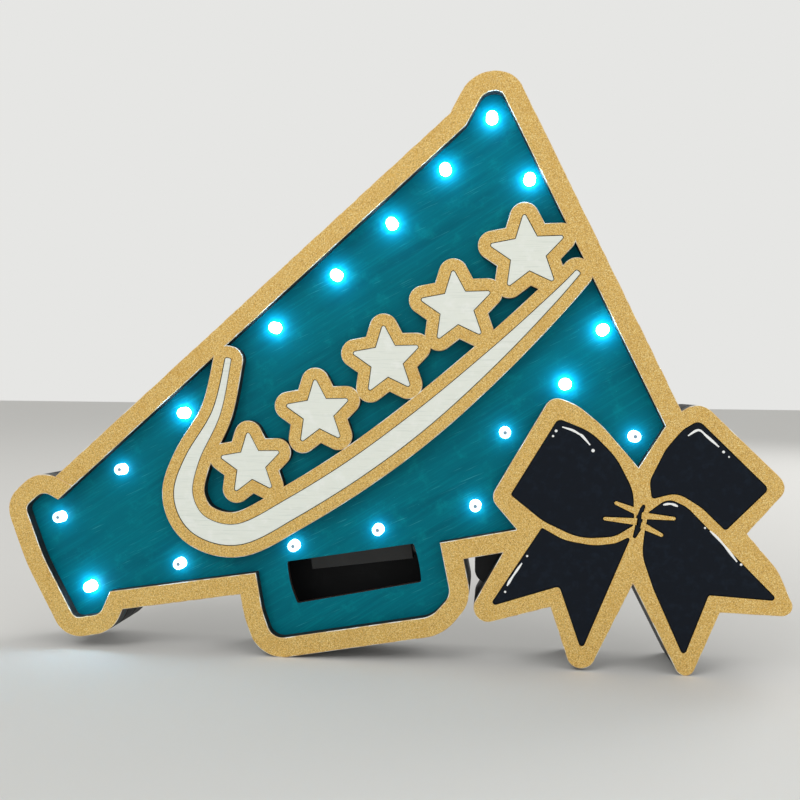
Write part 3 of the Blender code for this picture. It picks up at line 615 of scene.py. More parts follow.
class Outline:
    """A closed line through rounded corners, in the drawing's millimetres, going round anticlockwise."""

    def __init__(self, corners: Sequence[Corner]) -> None:
        """Keeps the corners, each (x, z, radius)."""
        self.corners = tuple(corners)

    def bends(self) -> Iterator[Bend]:
        """Each corner in turn, with its directions and its turn.

        Yields:
            A bend for each corner.
        """
        places = [Vector(corner[:2]) for corner in self.corners]
        for index, here in enumerate(places):
            arriving = (here - places[index - 1]).normalized()
            leaving = (places[(index + 1) % len(places)] - here).normalized()
            turn = math.atan2(arriving.cross(leaving), arriving.dot(leaving))
            normal = Vector((arriving.y + leaving.y, -arriving.x - leaving.x)).normalized()
            yield Bend(here, -arriving, normal, turn, self.corners[index][2])

    def grown(self, distance: float, mitred: bool = False) -> "Outline":
        """The outline moved outwards.

        Args:
            distance: How far, in millimetres. Inwards where it is negative.
            mitred: Whether a sharp outward corner stays sharp, rather than getting an arc.

        Returns:
            The new outline. An arc's radius grows or shrinks with the move.
        """
        moved = []
        for bend in self.bends():
            spot = bend.spot + bend.outward * distance / math.cos(bend.turn / 2)
            radius = bend.radius + math.copysign(distance, bend.turn)
            if not bend.radius and (mitred or bend.turn < SHARP / 2):
                radius = 0.0
            moved.append((spot.x, spot.y, max(radius, 0.0)))
        return Outline(moved)

    def draw(self, shape: bmesh.types.BMesh, depth: float) -> list[bmesh.types.BMEdge]:
        """Draws the outline's edges at a depth, each arc spun from its first point.

        Args:
            shape: The mesh that gets them.
            depth: Millimetres behind the front face.

        Returns:
            The closed loop's edges.
        """
        ends = []
        for bend in self.bends():
            if bend.radius < LEAST_RADIUS:
                first = last = shape.verts.new(SPACE.point(*bend.spot, depth))
                ends.append((first, last))
                continue
            half = abs(bend.turn) / 2
            centre = bend.spot - bend.outward * math.copysign(bend.radius, bend.turn) / math.cos(half)
            start = bend.spot + bend.back * bend.radius * math.tan(half)
            first = shape.verts.new(SPACE.point(*start, depth))
            step = 2 * math.acos(1 - min(1.0, ARC_TOLERANCE / bend.radius))
            made = bmesh.ops.spin(
                shape, geom=[first], cent=SPACE.point(*centre, depth), axis=(0, -1, 0), angle=bend.turn,
                steps=max(1, math.ceil(2 * half / step)), use_duplicate=False,
            )
            ends.append((first, next(item for item in made["geom_last"] if isinstance(item, bmesh.types.BMVert))))
        for index, (first, _) in enumerate(ends):
            shape.edges.new((ends[index - 1][1], first))
        # Where one arc ends as the next starts, their two points become one.
        bmesh.ops.remove_doubles(shape, verts=shape.verts, dist=DRAWN_MERGE)
        return shape.edges[:]

    def slab(
        self, name: str, span: tuple[float, float], front: float = 0.0, rear: float = 0.0,
    ) -> bpy.types.Object:
        """A flat piece cut to the outline.

        Args:
            name: The object's name.
            span: Its front and back depth, in millimetres.
            front: The width of the 45 degree break on the front edge. A negative one flares out.
            rear: The same for the back edge.

        Returns:
            The new object.
        """
        shape = bmesh.new()
        lid = bmesh.ops.edgeloop_fill(shape, edges=self.draw(shape, span[0] + abs(front)))["faces"]
        thickness = span[1] - span[0] - abs(front) - abs(rear)
        thicken(shape, lid, thickness)
        for side, edge_break in ((-1, front), (1, rear)):
            if edge_break:
                caps = [face for face in shape.faces if face.normal.y * side > CAP_FACING]
                bmesh.ops.inset_region(
                    shape, faces=caps, thickness=edge_break * MM, depth=abs(edge_break) * MM,
                    use_even_offset=True, use_boundary=True,
                )
        return as_object(name, shape)


def ribbon(points: Sequence[Point], half_widths: Sequence[float], steps: int, tip: float = 0.0) -> Outline:
    """The outline of a band along a smooth line, its width swelling and tapering.

    Args:
        points: The middle line, in millimetres.
        half_widths: Half the width, at even places from start to end.
        steps: How many pieces each stretch of the line is cut into.
        tip: The radius at the corners of its two ends.

    Returns:
        The band's outline.
    """
    spots = [Vector(point) for point in points]
    line = []
    for index in range(len(spots) - 1):
        before, here = spots[max(index - 1, 0)], spots[index]
        ahead, after = spots[index + 1], spots[min(index + 2, len(spots) - 1)]
        for step in range(steps):
            t = step / steps
            line.append(0.5 * (
                2 * here + (ahead - before) * t + (2 * before - 5 * here + 4 * ahead - after) * t * t
                + (3 * here - before - 3 * ahead + after) * t ** 3
            ))
    line.append(spots[-1])
    right, left = [], []
    for index, here in enumerate(line):
        along = (line[min(index + 1, len(line) - 1)] - line[max(index - 1, 0)]).normalized()
        place = index / (len(line) - 1) * (len(half_widths) - 1)
        lower = min(int(place), len(half_widths) - 2)
        share = (1 - math.cos(math.pi * (place - lower))) / 2
        side = Vector((along.y, -along.x)) * (half_widths[lower] * (1 - share) + half_widths[lower + 1] * share)
        radius = tip if index in (0, len(line) - 1) else 0.0
        right.append((*(here + side), radius))
        left.append((*(here - side), radius))
    return Outline(right + left[::-1])


def through(span: tuple[float, float]) -> tuple[float, float]:
    """A cutter's front and back depth: its sheet's, and a little past it both ways."""
    return span[0] - OVERRUN, span[1] + OVERRUN


def round_line(x: float, z: float, radius: float) -> Outline:
    """A circle, as a square whose corners are rounded to its middle."""
    return Outline([(x + a * radius, z + b * radius, radius) for a, b in ((-1, -1), (1, -1), (1, 1), (-1, 1))])


def face_outwards(shape: bmesh.types.BMesh) -> None:
    """Turns the faces of a closed shape outwards, which the recalculation alone sometimes misses.

    Args:
        shape: The shape.
    """
    bmesh.ops.recalc_face_normals(shape, faces=shape.faces)
    if shape.calc_volume(signed=True) < 0:
        bmesh.ops.reverse_faces(shape, faces=shape.faces)


def thicken(shape: bmesh.types.BMesh, faces: Sequence[bmesh.types.BMFace], thickness: float) -> None:
    """Makes flat faces a closed solid.

    Args:
        shape: The mesh that holds them.
        faces: The faces, which become the solid's front.
        thickness: How far back the solid reaches, in millimetres.
    """
    made = bmesh.ops.extrude_face_region(shape, geom=faces)["geom"]
    moved = [item for item in made if isinstance(item, bmesh.types.BMVert)]
    bmesh.ops.translate(shape, verts=moved, vec=(0, thickness * MM, 0))
    face_outwards(shape)


def as_object(name: str, shape: bmesh.types.BMesh) -> bpy.types.Object:
    """Makes an object of a shape, with its doubles merged and its faces outwards.

    Args:
        name: The object's name.
        shape: The shape, which is freed.

    Returns:
        The new object.
    """
    bmesh.ops.remove_doubles(shape, verts=shape.verts, dist=PIECE_MERGE)
    face_outwards(shape)
    mesh = bpy.data.meshes.new(name)
    shape.to_mesh(mesh)
    shape.free()
    made = bpy.data.objects.new(name, mesh)
    bpy.context.scene.collection.objects.link(made)
    return made


def combine(piece: bpy.types.Object, operation: Operation, others: Sequence[bpy.types.Object]) -> None:
    """Cuts the others out of a piece or joins them to it, and removes them.

    Args:
        piece: The object that is changed.
        operation: What the others do to it.
        others: The objects that are used up.
    """
    for other in others:
        boolean = piece.modifiers.new(other.name, "BOOLEAN")
        boolean.operation = operation.value
        boolean.solver = "MANIFOLD"
        boolean.object = other
    graph = bpy.context.evaluated_depsgraph_get()
    made = bpy.data.meshes.new_from_object(piece.evaluated_get(graph))
    piece.modifiers.clear()
    spent, piece.data = piece.data, made
    bpy.data.meshes.remove(spent)
    for other in others:
        bpy.data.meshes.remove(other.data)


def tidied(piece: bpy.types.Object) -> bpy.types.Object:
    """Cuts a Boolean's many-sided faces into triangles, and merges the doubled points that it leaves.

    Args:
        piece: The object.

    Returns:
        The same object.
    """
    shape = bmesh.new()
    shape.from_mesh(piece.data)
    bmesh.ops.triangulate(shape, faces=shape.faces)
    bmesh.ops.remove_doubles(shape, verts=shape.verts, dist=BOOLEAN_MERGE)
    face_outwards(shape)
    shape.to_mesh(piece.data)
    shape.free()
    return piece


def turned(name: str, profile: Sequence[Point], matrix: Matrix, sides: int) -> bpy.types.Object:
    """A turned piece.

    Args:
        name: The object's name.
        profile: (radius, height) points in millimetres, from the axis at one end to the axis at the other.
        matrix: Where it stands: its axis is the matrix's Z.
        sides: How many sides it has.

    Returns:
        The new object.
    """
    shape = bmesh.new()
    verts = [shape.verts.new((radius * MM, 0, height * MM)) for radius, height in profile]
    edges = [shape.edges.new(pair) for pair in zip(verts, verts[1:])]
    bmesh.ops.spin(
        shape, geom=verts + edges, cent=(0, 0, 0), axis=(0, 0, 1), angle=math.tau, steps=sides, use_merge=True,
    )
    bmesh.ops.remove_doubles(shape, verts=shape.verts, dist=DRAWN_MERGE)
    bmesh.ops.transform(shape, matrix=matrix, verts=shape.verts)
    return as_object(name, shape)


def soften(shape: bmesh.types.BMesh, width: float) -> None:
    """Rounds the shape's sharp edges.

    Args:
        shape: The shape.
        width: How far back from each edge the rounding starts, in millimetres.
    """
    sharp = [edge for edge in shape.edges if len(edge.link_faces) == 2 and edge.calc_face_angle() > SHARP]
    bmesh.ops.bevel(
        shape, geom=sharp, offset=width * MM, offset_type="OFFSET", affect="EDGES", segments=2,
        profile=0.5, material=-1, clamp_overlap=True,
    )


def block(name: str, low: Sequence[float], high: Sequence[float], matrix: Matrix) -> bpy.types.Object:
    """A block for cutting.

    Args:
        name: The object's name.
        low: Its lowest corner, in millimetres, in the matrix's frame.
        high: Its highest corner.
        matrix: Where that frame is.

    Returns:
        The new object.
    """
    shape = bmesh.new()
    start, end = Vector(low) * MM, Vector(high) * MM
    place = Matrix.Translation((start + end) / 2) @ Matrix.Diagonal((*(end - start), 1))
    bmesh.ops.create_cube(shape, size=1, matrix=place)
    bmesh.ops.transform(shape, matrix=matrix, verts=shape.verts)
    return as_object(name, shape)


def eased_copy(node: str, name: str, width: float) -> bpy.types.Object:
    """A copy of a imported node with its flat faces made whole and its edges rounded.

    Args:
        node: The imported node.
        name: The new object's name.
        width: How far back from each edge the rounding starts, in millimetres.

    Returns:
        The new object.
    """
    shape = bmesh.new()
    shape.from_mesh(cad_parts[node].data)
    bmesh.ops.remove_doubles(shape, verts=shape.verts, dist=DRAWN_MERGE)
    bmesh.ops.dissolve_limit(
        shape, angle_limit=FLAT, verts=shape.verts, edges=shape.edges, use_dissolve_boundaries=False,
    )
    soften(shape, width)
    return as_object(name, shape)


def finished(
    piece: bpy.types.Object, face: Finish, slot: Slot, *nodes: str,
    edge: Finish | None = None, rim: Finish | None = None, body: Body = Body.SIGN,
) -> bpy.types.Object:
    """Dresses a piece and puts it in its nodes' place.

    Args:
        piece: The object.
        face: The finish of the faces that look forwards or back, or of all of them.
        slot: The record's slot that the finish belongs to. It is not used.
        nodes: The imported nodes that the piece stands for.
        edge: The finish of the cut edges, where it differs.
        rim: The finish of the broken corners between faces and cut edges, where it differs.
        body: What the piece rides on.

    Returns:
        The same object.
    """
    piece.data.materials.clear()
    piece.data.materials.append(face.material())
    for other in (edge, rim):
        if other:
            piece.data.materials.append(other.material())
    for polygon in piece.data.polygons:
        facing = abs(polygon.normal.y)
        if edge and facing < EDGE_FACING:
            polygon.material_index = 1
        elif rim and facing < RIM_FACING:
            polygon.material_index = 2
        else:
            polygon.material_index = 0
    piece.data.shade_smooth()
    piece.data.set_sharp_from_angle(angle=SHARP)
    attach(piece, body.value)
    if nodes:
        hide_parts(*nodes)
    LOG.info("%s: %d faces", piece.name, len(piece.data.polygons))
    return piece


# Sub-assemblies


@dataclass
class Stars:
    """The row of five stars that climbs beside the sweep."""

    count: int = 5
    first: Point = (-61, 88.5)
    step: Point = (31.2, 24)
    radius: float = 15.5
    growth: float = 0.6
    inner_share: float = 0.45
    tilt: float = math.radians(6)
    point_radius: float = 0.8

    def outline(self, number: int) -> Outline:
        """One star of the row.

        Args:
            number: Which star, counted from 0.

        Returns:
            Its outline.
        """
        centre = Vector(self.first) + number * Vector(self.step)
        radius = self.radius + self.growth * number
        corners = []
        for corner in range(10):
            angle = self.tilt + math.pi / 2 + math.tau * corner / 10
            inward = corner % 2
            spot = centre + radius * (self.inner_share if inward else 1) * Vector((math.cos(angle), math.sin(angle)))
            corners.append((*spot, 0 if inward else self.point_radius))
        return Outline(corners)


@dataclass
class Folds:
    """The gold creases that run from the knot into the bow."""

    root_width: float = 3.0
    tip_width: float = 1.4
    left: tuple = (((113, 70.8), (103.4, 74.6)), ((113, 66.6), (98.7, 67.6)))
    right: tuple = (((114, 69.4), (128.1, 68.4)), ((114, 65.4), (122.9, 61.1)))

    def outline(self, root: Point, tip: Point) -> Outline:
        """One crease: a finger that tapers to a round tip.

        Args:
            root: The middle of its wide end, in the drawing.
            tip: The middle of its round end.

        Returns:
            Its outline.
        """
        start, end = Vector(root), Vector(tip)
        along = (end - start).normalized()
        side = Vector((along.y, -along.x))
        half = self.tip_width / 2
        corners = [(*(start - side * self.root_width / 2), 0), (*(start + side * self.root_width / 2), 0)]
        corners += [(*(end + along * half + side * half * turn), half) for turn in (1, -1)]
        return Outline(corners)


@dataclass
class Face:
    """The gold front sheet and the white and black pieces let into it."""

    motif_border: float = 5.7
    cut_line: float = 0.3
    edge_break: float = 0.3
    inlay_break: float = 0.2
    sweep_tip: float = 0.8
    sweep_steps: int = 8
    stars: Stars = field(default_factory=Stars)
    folds: Folds = field(default_factory=Folds)

    def inlays(self) -> Iterator[tuple[str, Outline, tuple, Slot]]:
        """The white and black pieces.

        Yields:
            Each one's node, outline, creases and slot.
        """
        for number in range(self.stars.count):
            yield f"star_inlay_{number + 1}", self.stars.outline(number), (), Slot.WHITE
        yield "sweep_inlay", self.sweep(), (), Slot.WHITE
        yield "bow_left_loop", Outline(BOW_LEFT_LOOP), self.folds.left, Slot.BOW
        yield "bow_right_loop", Outline(BOW_RIGHT_LOOP), (), Slot.BOW
        yield "bow_left_tail", Outline(BOW_LEFT_TAIL), (), Slot.BOW
        yield "bow_right_tail", Outline(BOW_RIGHT_TAIL), self.folds.right, Slot.BOW
        yield "bow_knot", Outline(BOW_KNOT), (), Slot.BOW

    def sweep(self) -> Outline:
        """The sweeping curve that runs down from the top and up under the stars."""
        return ribbon(SWEEP, SWEEP_HALF_WIDTHS, self.sweep_steps, tip=self.sweep_tip)

    def build(self) -> None:
        """Makes the gold sheet and its inlays."""
        span = SPACE.depths("face_frame")
        self.build_sheet(span)
        for node, outline, folds, slot in self.inlays():
            piece = outline.slab(node + "_painted", span, self.inlay_break)
            if folds:
                flare = -(self.inlay_break + OVERRUN)
                combine(piece, Operation.CUT, [
                    self.folds.outline(*fold).grown(self.cut_line).slab(f"fold_{number}", through(span), flare)
                    for number, fold in enumerate(folds)
                ])
                tidied(piece)
            finished(piece, WHITE if slot is Slot.WHITE else BOW_BLACK, slot, node, edge=CHARRED)

    def build_sheet(self, span: tuple[float, float]) -> None:
        """Makes the gold sheet: the band, the borders joined to it, and the pockets for the inlays.

        Args:
            span: Its front and back depth, in millimetres.
        """
        past = through(span)
        sheet = Outline(OPENING).grown(BAND).slab("gold_face", span, self.edge_break)
        combine(sheet, Operation.CUT, [Outline(OPENING).slab("opening", past, -(self.edge_break + OVERRUN))])
        borders = [Outline(BOW).slab("bow_border", span, self.edge_break)]
        pockets, creases = [], []
        for node, outline, folds, slot in self.inlays():
            if slot is Slot.WHITE:
                borders.append(outline.grown(self.motif_border).slab(node + "_border", span, self.edge_break))
            pockets.append(outline.grown(self.cut_line, mitred=True).slab(node + "_pocket", past))
            creases += [
                self.folds.outline(*fold).slab(f"{node}_crease_{number}", span) for number, fold in enumerate(folds)
            ]
        combine(sheet, Operation.JOIN, borders)
        combine(sheet, Operation.CUT, pockets)
        combine(sheet, Operation.JOIN, creases)
        # The broken corners of the gold sheet take a painted highlight.
        finished(tidied(sheet), GOLD, Slot.GOLD, "face_frame", edge=CHARRED, rim=PAINTED_EDGE_HIGHLIGHT)


@dataclass
class Highlights:
    """The white pen strokes and dots that make the black bow look glossy."""

    height: float = 0.14
    stroke_ease: float = 0.6
    dot_ease: float = 0.8
    tip: float = 0.15
    steps: int = 5
    strokes: tuple = (
        ((79.7, 107.6), (84.2, 106.2), (87.1, 104.6), (88.6, 103.6), (91.9, 99.8)),
        ((133.5, 104.5), (137.9, 107.1), (141.6, 104.3), (146.6, 99.9)),
        ((123.4, 74.3), (126.6, 74.8), (129.7, 73.8)),
        ((143.3, 63.5), (147.0, 60.0), (150.8, 55.6), (154.8, 50.4)),
        ((62.9, 46.9), (60.3, 43.0), (58.0, 39.4), (56.4, 36.5)),
    )
    half_widths: tuple[float, ...] = (0.26, 0.52, 0.4, 0.58, 0.28)
    dots: tuple = (
        (77.1, 105.8, 0.62), (75.8, 103.5, 0.52), (93.2, 97.4, 0.75), (148.5, 97.8, 0.6), (150.8, 95.7, 0.4),
        (141.2, 64.7, 0.45), (156.5, 49.3, 0.55), (65.1, 50.1, 0.5), (55.6, 33.8, 0.5),
    )

    def build(self) -> None:
        """Makes all the marks as one piece of raised paint."""
        face = SPACE.depths("bow_left_loop")[0]
        span = (face - self.height, face)
        marks = [
            ribbon(points, self.half_widths, self.steps, tip=self.tip).slab(
                f"stroke_{number}", span, self.height * self.stroke_ease,
            )
            for number, points in enumerate(self.strokes)
        ]
        marks += [
            round_line(x, z, radius).slab(f"dot_{number}", span, self.height * self.dot_ease)
            for number, (x, z, radius) in enumerate(self.dots)
        ]
        joined = bmesh.new()
        for mark in marks:
            joined.from_mesh(mark.data)
            bpy.data.meshes.remove(mark.data)
        finished(as_object("bow_highlights", joined), PEN_WHITE, Slot.WHITE)


@dataclass
class TealPanel:
    """The teal panel behind the face, with its handle slot and its lamp holes."""

    hole_radius: float = 2.7
    hole_break: float = 0.15
    edge_break: float = 0.2

    def build(self) -> None:
        """Cuts the whole silhouette in teal, then the slot and the holes."""
        span = SPACE.depths("face_panel")
        past, flare = through(span), -(self.hole_break + OVERRUN)
        panel = silhouette("teal_panel", span, self.edge_break)
        cuts = [Outline(SLOT_WINDOW).slab("slot", past, flare)]
        cuts += [round_line(*spot, self.hole_radius).slab(f"hole_{n}", past, flare) for n, spot in enumerate(LAMPS)]
        combine(panel, Operation.CUT, cuts)
        finished(tidied(panel), TEAL, Slot.TEAL, "face_panel", edge=BROWNED)


def silhouette(name: str, span: tuple[float, float], edge_break: float) -> bpy.types.Object:
    """The sign's whole outline, megaphone and bow together, as one sheet.

    Args:
        name: The object's name.
        span: Its front and back depth, in millimetres.
        edge_break: The width of the break on its edges.

    Returns:
        The new object.
    """
    sheet = Outline(OPENING).grown(BAND).slab(name, span, edge_break, edge_break)
    combine(sheet, Operation.JOIN, [Outline(BOW).slab(name + "_bow", span, edge_break, edge_break)])
    return sheet


@dataclass
class Lamps:
    """Eighteen 5 mm lamps with dished tips, pushed in from behind the teal panel."""

    radius: float = 2.5
    flange_radius: float = 2.9
    flange: float = 1.0
    shoulder: float = 0.55
    dish: float = 0.7
    dish_share: float = 0.62
    dish_angles: tuple[float, ...] = (0, 0.35, 0.7, 1.1, math.pi / 2)
    shoulder_steps: int = 5
    foot_rise: float = 0.12
    flange_ease: float = 0.15
    sides: int = 32
    foot_gap: float = 0.06
    unlit: float = 3.0
    dim: tuple[int, ...] = (1, 2, 4, 5, 15, 16, 17, 18)

    def profile(self, length: float) -> list[Point]:
        """The lamp's outer line, from the middle of its dish to the middle of its foot.

        Args:
            length: How far its tip stands from its flange, in millimetres.

        Returns:
            (radius, height) points in millimetres.
        """
        reach = self.radius * self.dish_share
        line = [(reach * math.sin(a), length - self.dish * math.cos(a) ** 2) for a in self.dish_angles]
        centre, step = self.radius - self.shoulder, math.radians(90 / self.shoulder_steps)
        line += [
            (centre + self.shoulder * math.sin(a), length - self.shoulder + self.shoulder * math.cos(a))
            for a in (step * number for number in range(1, self.shoulder_steps + 1))
        ]
        wide, ease = self.flange_radius, self.flange_ease
        return line + [
            (self.radius, self.foot_rise), (wide - ease, 0), (wide, -ease),
            (wide, -self.flange + ease), (wide - ease, -self.flange), (0, -self.flange),
        ]

    def build(self) -> None:
        """Makes each lamp where its node stands."""
        for number in range(1, len(LAMPS) + 1):
            node = f"lamp_{number:02}"
            low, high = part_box(node)
            foot = Vector(((low.x + high.x) / 2, high.y - self.flange * MM, (low.z + high.z) / 2))
            length = (foot.y - low.y) / MM
            place = Matrix.Translation(foot) @ Matrix.Rotation(math.pi / 2, 4, "X")
            lamp = turned(f"lit_lamp_{number:02}", self.profile(length), place, self.sides)
            spread = lamp.data.attributes.new("from_axis", "FLOAT", "POINT")
            for vert, value in zip(lamp.data.vertices, spread.data):
                behind = vert.co.y > foot.y - self.foot_gap * MM
                away = Vector((vert.co.x - foot.x, vert.co.z - foot.z)).length / (self.radius * MM)
                value.value = self.unlit if behind else away
            finished(lamp, DIM_EPOXY if number in self.dim else LIT_EPOXY, Slot.LAMP, node)


@dataclass(frozen=True)
class ScrewSize:
    """What a back screw and its hole share, in millimetres."""

    count: int = 6
    head: float = 2.8
    cone: float = 1.6
    shank: float = 1.4
    length: float = 12.0
    sides: int = 28


SCREW = ScrewSize()


def screw_place(number: int) -> Matrix:
    """Where a back screw stands.

    Args:
        number: Which screw, counted from 1.

    Returns:
        The middle of its head, with Z pointing forwards into the sign.
    """
    low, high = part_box(f"back_screw_{number}")
    head = Vector(((low.x + high.x) / 2, high.y, (low.z + high.z) / 2))
    return Matrix.Translation(head) @ Matrix.Rotation(math.pi / 2, 4, "X")


@dataclass
class BlackBody:
    """The black spacer rings, the block behind the bow, the back cover and the glue between the layers."""

    setback: float = 2.0
    glue_line: float = 0.3
    glue_setback: float = 0.5
    edge_break: float = 0.4
    case_gap: float = 0.5
    case_reach: float = 20.0
    screw_room: float = 0.3
    screw_tip: float = 1.0
    screw_lead: float = 3.0

    def build(self) -> None:
        """Makes the rings, the block, the cover and the glue."""
        for node in ("spacer_ring_front", "spacer_ring_rear"):
            span = SPACE.depths(node)
            ring = Outline(OPENING).grown(BAND).slab(node + "_painted", span, self.edge_break, self.edge_break)
            combine(ring, Operation.CUT, [Outline(OPENING).grown(self.setback).slab("ring_hole", through(span))])
            if node.endswith("rear"):
                combine(ring, Operation.CUT, self.screw_holes())
            finished(tidied(ring), BLACK, Slot.BLACK, node)
        self.build_backer()
        self.build_cover()
        self.build_glue()

    def build_backer(self) -> None:
        """The block behind the bow, cut round the megaphone, with its lobe beside the tail."""
        span = SPACE.depths("bow_backer")
        backer = Outline(BOW).slab("bow_block", span, self.edge_break, self.edge_break)
        combine(backer, Operation.JOIN, [Outline(BACKER_LOBE).slab("lobe", span, self.edge_break, self.edge_break)])
        around = Outline(OPENING).grown(BAND + self.glue_line)
        combine(backer, Operation.CUT, [around.slab("round_megaphone", through(span))])
        finished(tidied(backer), BLACK, Slot.BLACK, "bow_backer")

    def build_cover(self) -> None:
        """The back cover, cut out for the case, its lid's travel and the screws."""
        cover = silhouette("back_cover", SPACE.depths("back_panel"), self.edge_break)
        case = BatteryCase()
        low, high = case.window(self.case_gap)
        reach = self.case_reach
        window = block("case_window", (low.x, -reach, low.y), (high.x, reach, high.y), case.matrix())
        combine(cover, Operation.CUT, [window, *self.screw_holes()])
        finished(tidied(cover), BLACK, Slot.BLACK, "back_panel", edge=CHARRED)

    def build_glue(self) -> None:
        """The black glue that fills each joint between two layers, set back a little from their edges."""
        layers = ("face_frame", "face_panel", "spacer_ring_front", "spacer_ring_rear", "back_panel")
        for number, (front, rear) in enumerate(zip(layers, layers[1:]), 1):
            span = (SPACE.depths(front)[1], SPACE.depths(rear)[0])
            past = through(span)
            bead = Outline(OPENING).grown(BAND - self.glue_setback).slab(f"glue_joint_{number}", span)
            inside = Outline(OPENING).grown(self.setback + self.glue_setback)
            combine(bead, Operation.CUT, [inside.slab("glue_hole", past)])
            if (front, rear) != ("spacer_ring_front", "spacer_ring_rear"):
                bow_bead = Outline(BOW).grown(-self.glue_setback).slab("glue_under_bow", span)
                combine(bow_bead, Operation.CUT, [Outline(OPENING).grown(BAND).slab("megaphone", past)])
                combine(bead, Operation.JOIN, [bow_bead])
            finished(tidied(bead), BLACK, Slot.BLACK)

    def screw_holes(self) -> list[bpy.types.Object]:
        """Makes countersunk cutters that leave a little room round each screw.

        Returns:
            One cutter for each screw.
        """
        shank, head = SCREW.shank + self.screw_room, SCREW.head + self.screw_room
        profile = (
            (0, SCREW.length + self.screw_tip), (shank, SCREW.length), (shank, SCREW.cone),
            (head, 0), (head, -self.screw_lead), (0, -self.screw_lead),
        )
        return [turned(f"screw_hole_{n}", profile, screw_place(n), SCREW.sides) for n in range(1, SCREW.count + 1)]


@dataclass
class BackScrews:
    """Countersunk, cross-headed wood screws with a turned thread."""

    pitch: float = 1.1
    thread_start: float = 3.0
    thread_stop: float = 2.4
    thread_depth: float = 0.35
    root_share: float = 0.3
    crest_share: float = 0.8
    point_radius: float = 0.35
    point_length: float = 0.4
    head_ease: float = 0.1
    head_rim: float = 0.12
    recess: float = 1.3
    recess_depth: float = 0.9
    slot_width: float = 0.75
    turn_each: float = math.radians(37)

    def profile(self) -> list[Point]:
        """The screw's outer line, its thread drawn as rings of the same pitch.

        Returns:
            (radius, height) points in millimetres, from the head to the point.
        """
        line = [
            (0, 0.0), (SCREW.head - self.head_ease, 0.0), (SCREW.head, self.head_rim),
            (SCREW.shank, SCREW.cone), (SCREW.shank, self.thread_start),
        ]
        height = self.thread_start
        while height < SCREW.length - self.thread_stop:
            line.append((SCREW.shank - self.thread_depth, height + self.root_share * self.pitch))
            line.append((SCREW.shank, height + self.crest_share * self.pitch))
            height += self.pitch
        return line + [(self.point_radius, SCREW.length - self.point_length), (0, SCREW.length)]

    def build(self) -> None:
        """Makes the screws, each with a cross recess turned its own way."""
        arm, half = self.recess, self.slot_width / 2
        for number in range(1, SCREW.count + 1):
            place = screw_place(number)
            screw = turned(f"cross_screw_{number}", self.profile(), place, SCREW.sides)
            spun = place @ Matrix.Rotation(self.turn_each * number, 4, "Z")
            arms = [
                block(
                    f"arm_{turn}", (-arm, -half, -OVERRUN), (arm, half, self.recess_depth),
                    spun @ Matrix.Rotation(math.radians(turn), 4, "Z"),
                )
                for turn in (0, 90)
            ]
            combine(screw, Operation.CUT, arms)
            finished(tidied(screw), ZINC, Slot.STEEL, f"back_screw_{number}")


@dataclass
class BatteryCase:
    """The case for three cells, its sliding lid, its switch and its contacts."""

    tilt: float = math.radians(8)
    lid_travel: float = 12.0
    case_ease: float = 0.25
    switch_ease: float = 0.2
    contact_ease: float = 0.1
    arrow: float = 5.0
    arrow_thickness: float = 0.9
    arrow_proud: float = 0.5
    arrow_drop: float = 14.0
    arrow_ease: float = 0.2

    def extent(self) -> Vector:
        """The case's own width, depth and length, from the box round it as it leans.

        Returns:
            The three, in metres.
        """
        low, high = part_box("battery_case")
        wide, tall = high.x - low.x, high.z - low.z
        sine, cosine = math.sin(self.tilt), math.cos(self.tilt)
        spread = cosine * cosine - sine * sine
        return Vector(((wide * cosine - tall * sine) / spread, high.y - low.y, (tall * cosine - wide * sine) / spread))

    def matrix(self) -> Matrix:
        """The case's own frame: X across, Y back and Z up the case.

        Returns:
            Its place, at the middle of the foot of the case's back.
        """
        low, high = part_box("battery_case")
        turn = Matrix.Rotation(-self.tilt, 4, "Y")
        foot = (low + high) / 2 - turn @ Vector((0, 0, self.extent().z / 2))
        return Matrix.Translation((foot.x, high.y, foot.z)) @ turn

    def window(self, gap: float) -> tuple[Vector, Vector]:
        """The opening that the cover leaves for the case and its lid's travel.

        Args:
            gap: The room round it, in millimetres.

        Returns:
            Its low and high corner, (across, up), in millimetres.
        """
        size = self.extent() / MM
        return Vector((-size.x / 2 - gap, -gap)), Vector((size.x / 2 + gap, size.z + self.lid_travel + gap))

    def build(self) -> None:
        """Makes the case, the lid with its arrow, the switch, the cells and the contacts."""
        plastic = Slot.PLASTIC
        finished(eased_copy("battery_case", "case_shell", self.case_ease), ABS, plastic, "battery_case")
        lid = eased_copy("battery_lid", "case_lid", self.case_ease)
        finished(lid, ABS, plastic, "battery_lid", body=Body.LID)
        knob = eased_copy("battery_switch", "switch_slider", self.switch_ease)
        finished(knob, NYLON, plastic, "battery_switch", body=Body.SWITCH)
        finished(eased_copy("switch_body", "switch_housing", self.switch_ease), ZINC, Slot.STEEL, "switch_body")
        self.build_arrow()
        cell = Cell(self.tilt)
        for number in (1, 2, 3):
            cell.build(number)
            node = f"contact_plate_{number}"
            finished(eased_copy(node, f"contact_{number}", self.contact_ease), ZINC, Slot.STEEL, node)

    def build_arrow(self) -> None:
        """A raised triangle on the lid that points the way it slides."""
        shape = bmesh.new()
        upright = Matrix.Rotation(math.pi / 2, 4, "X")
        bmesh.ops.create_circle(shape, cap_ends=True, segments=3, radius=self.arrow * MM, matrix=upright)
        thicken(shape, shape.faces[:], self.arrow_thickness)
        soften(shape, self.arrow_ease)
        top = (self.extent() / MM).z
        spot = Vector((0, self.arrow_proud - self.arrow_thickness, top - self.arrow_drop)) * MM
        bmesh.ops.transform(shape, matrix=self.matrix() @ Matrix.Translation(spot), verts=shape.verts)
        finished(as_object("lid_arrow", shape), ABS, Slot.PLASTIC, body=Body.LID)


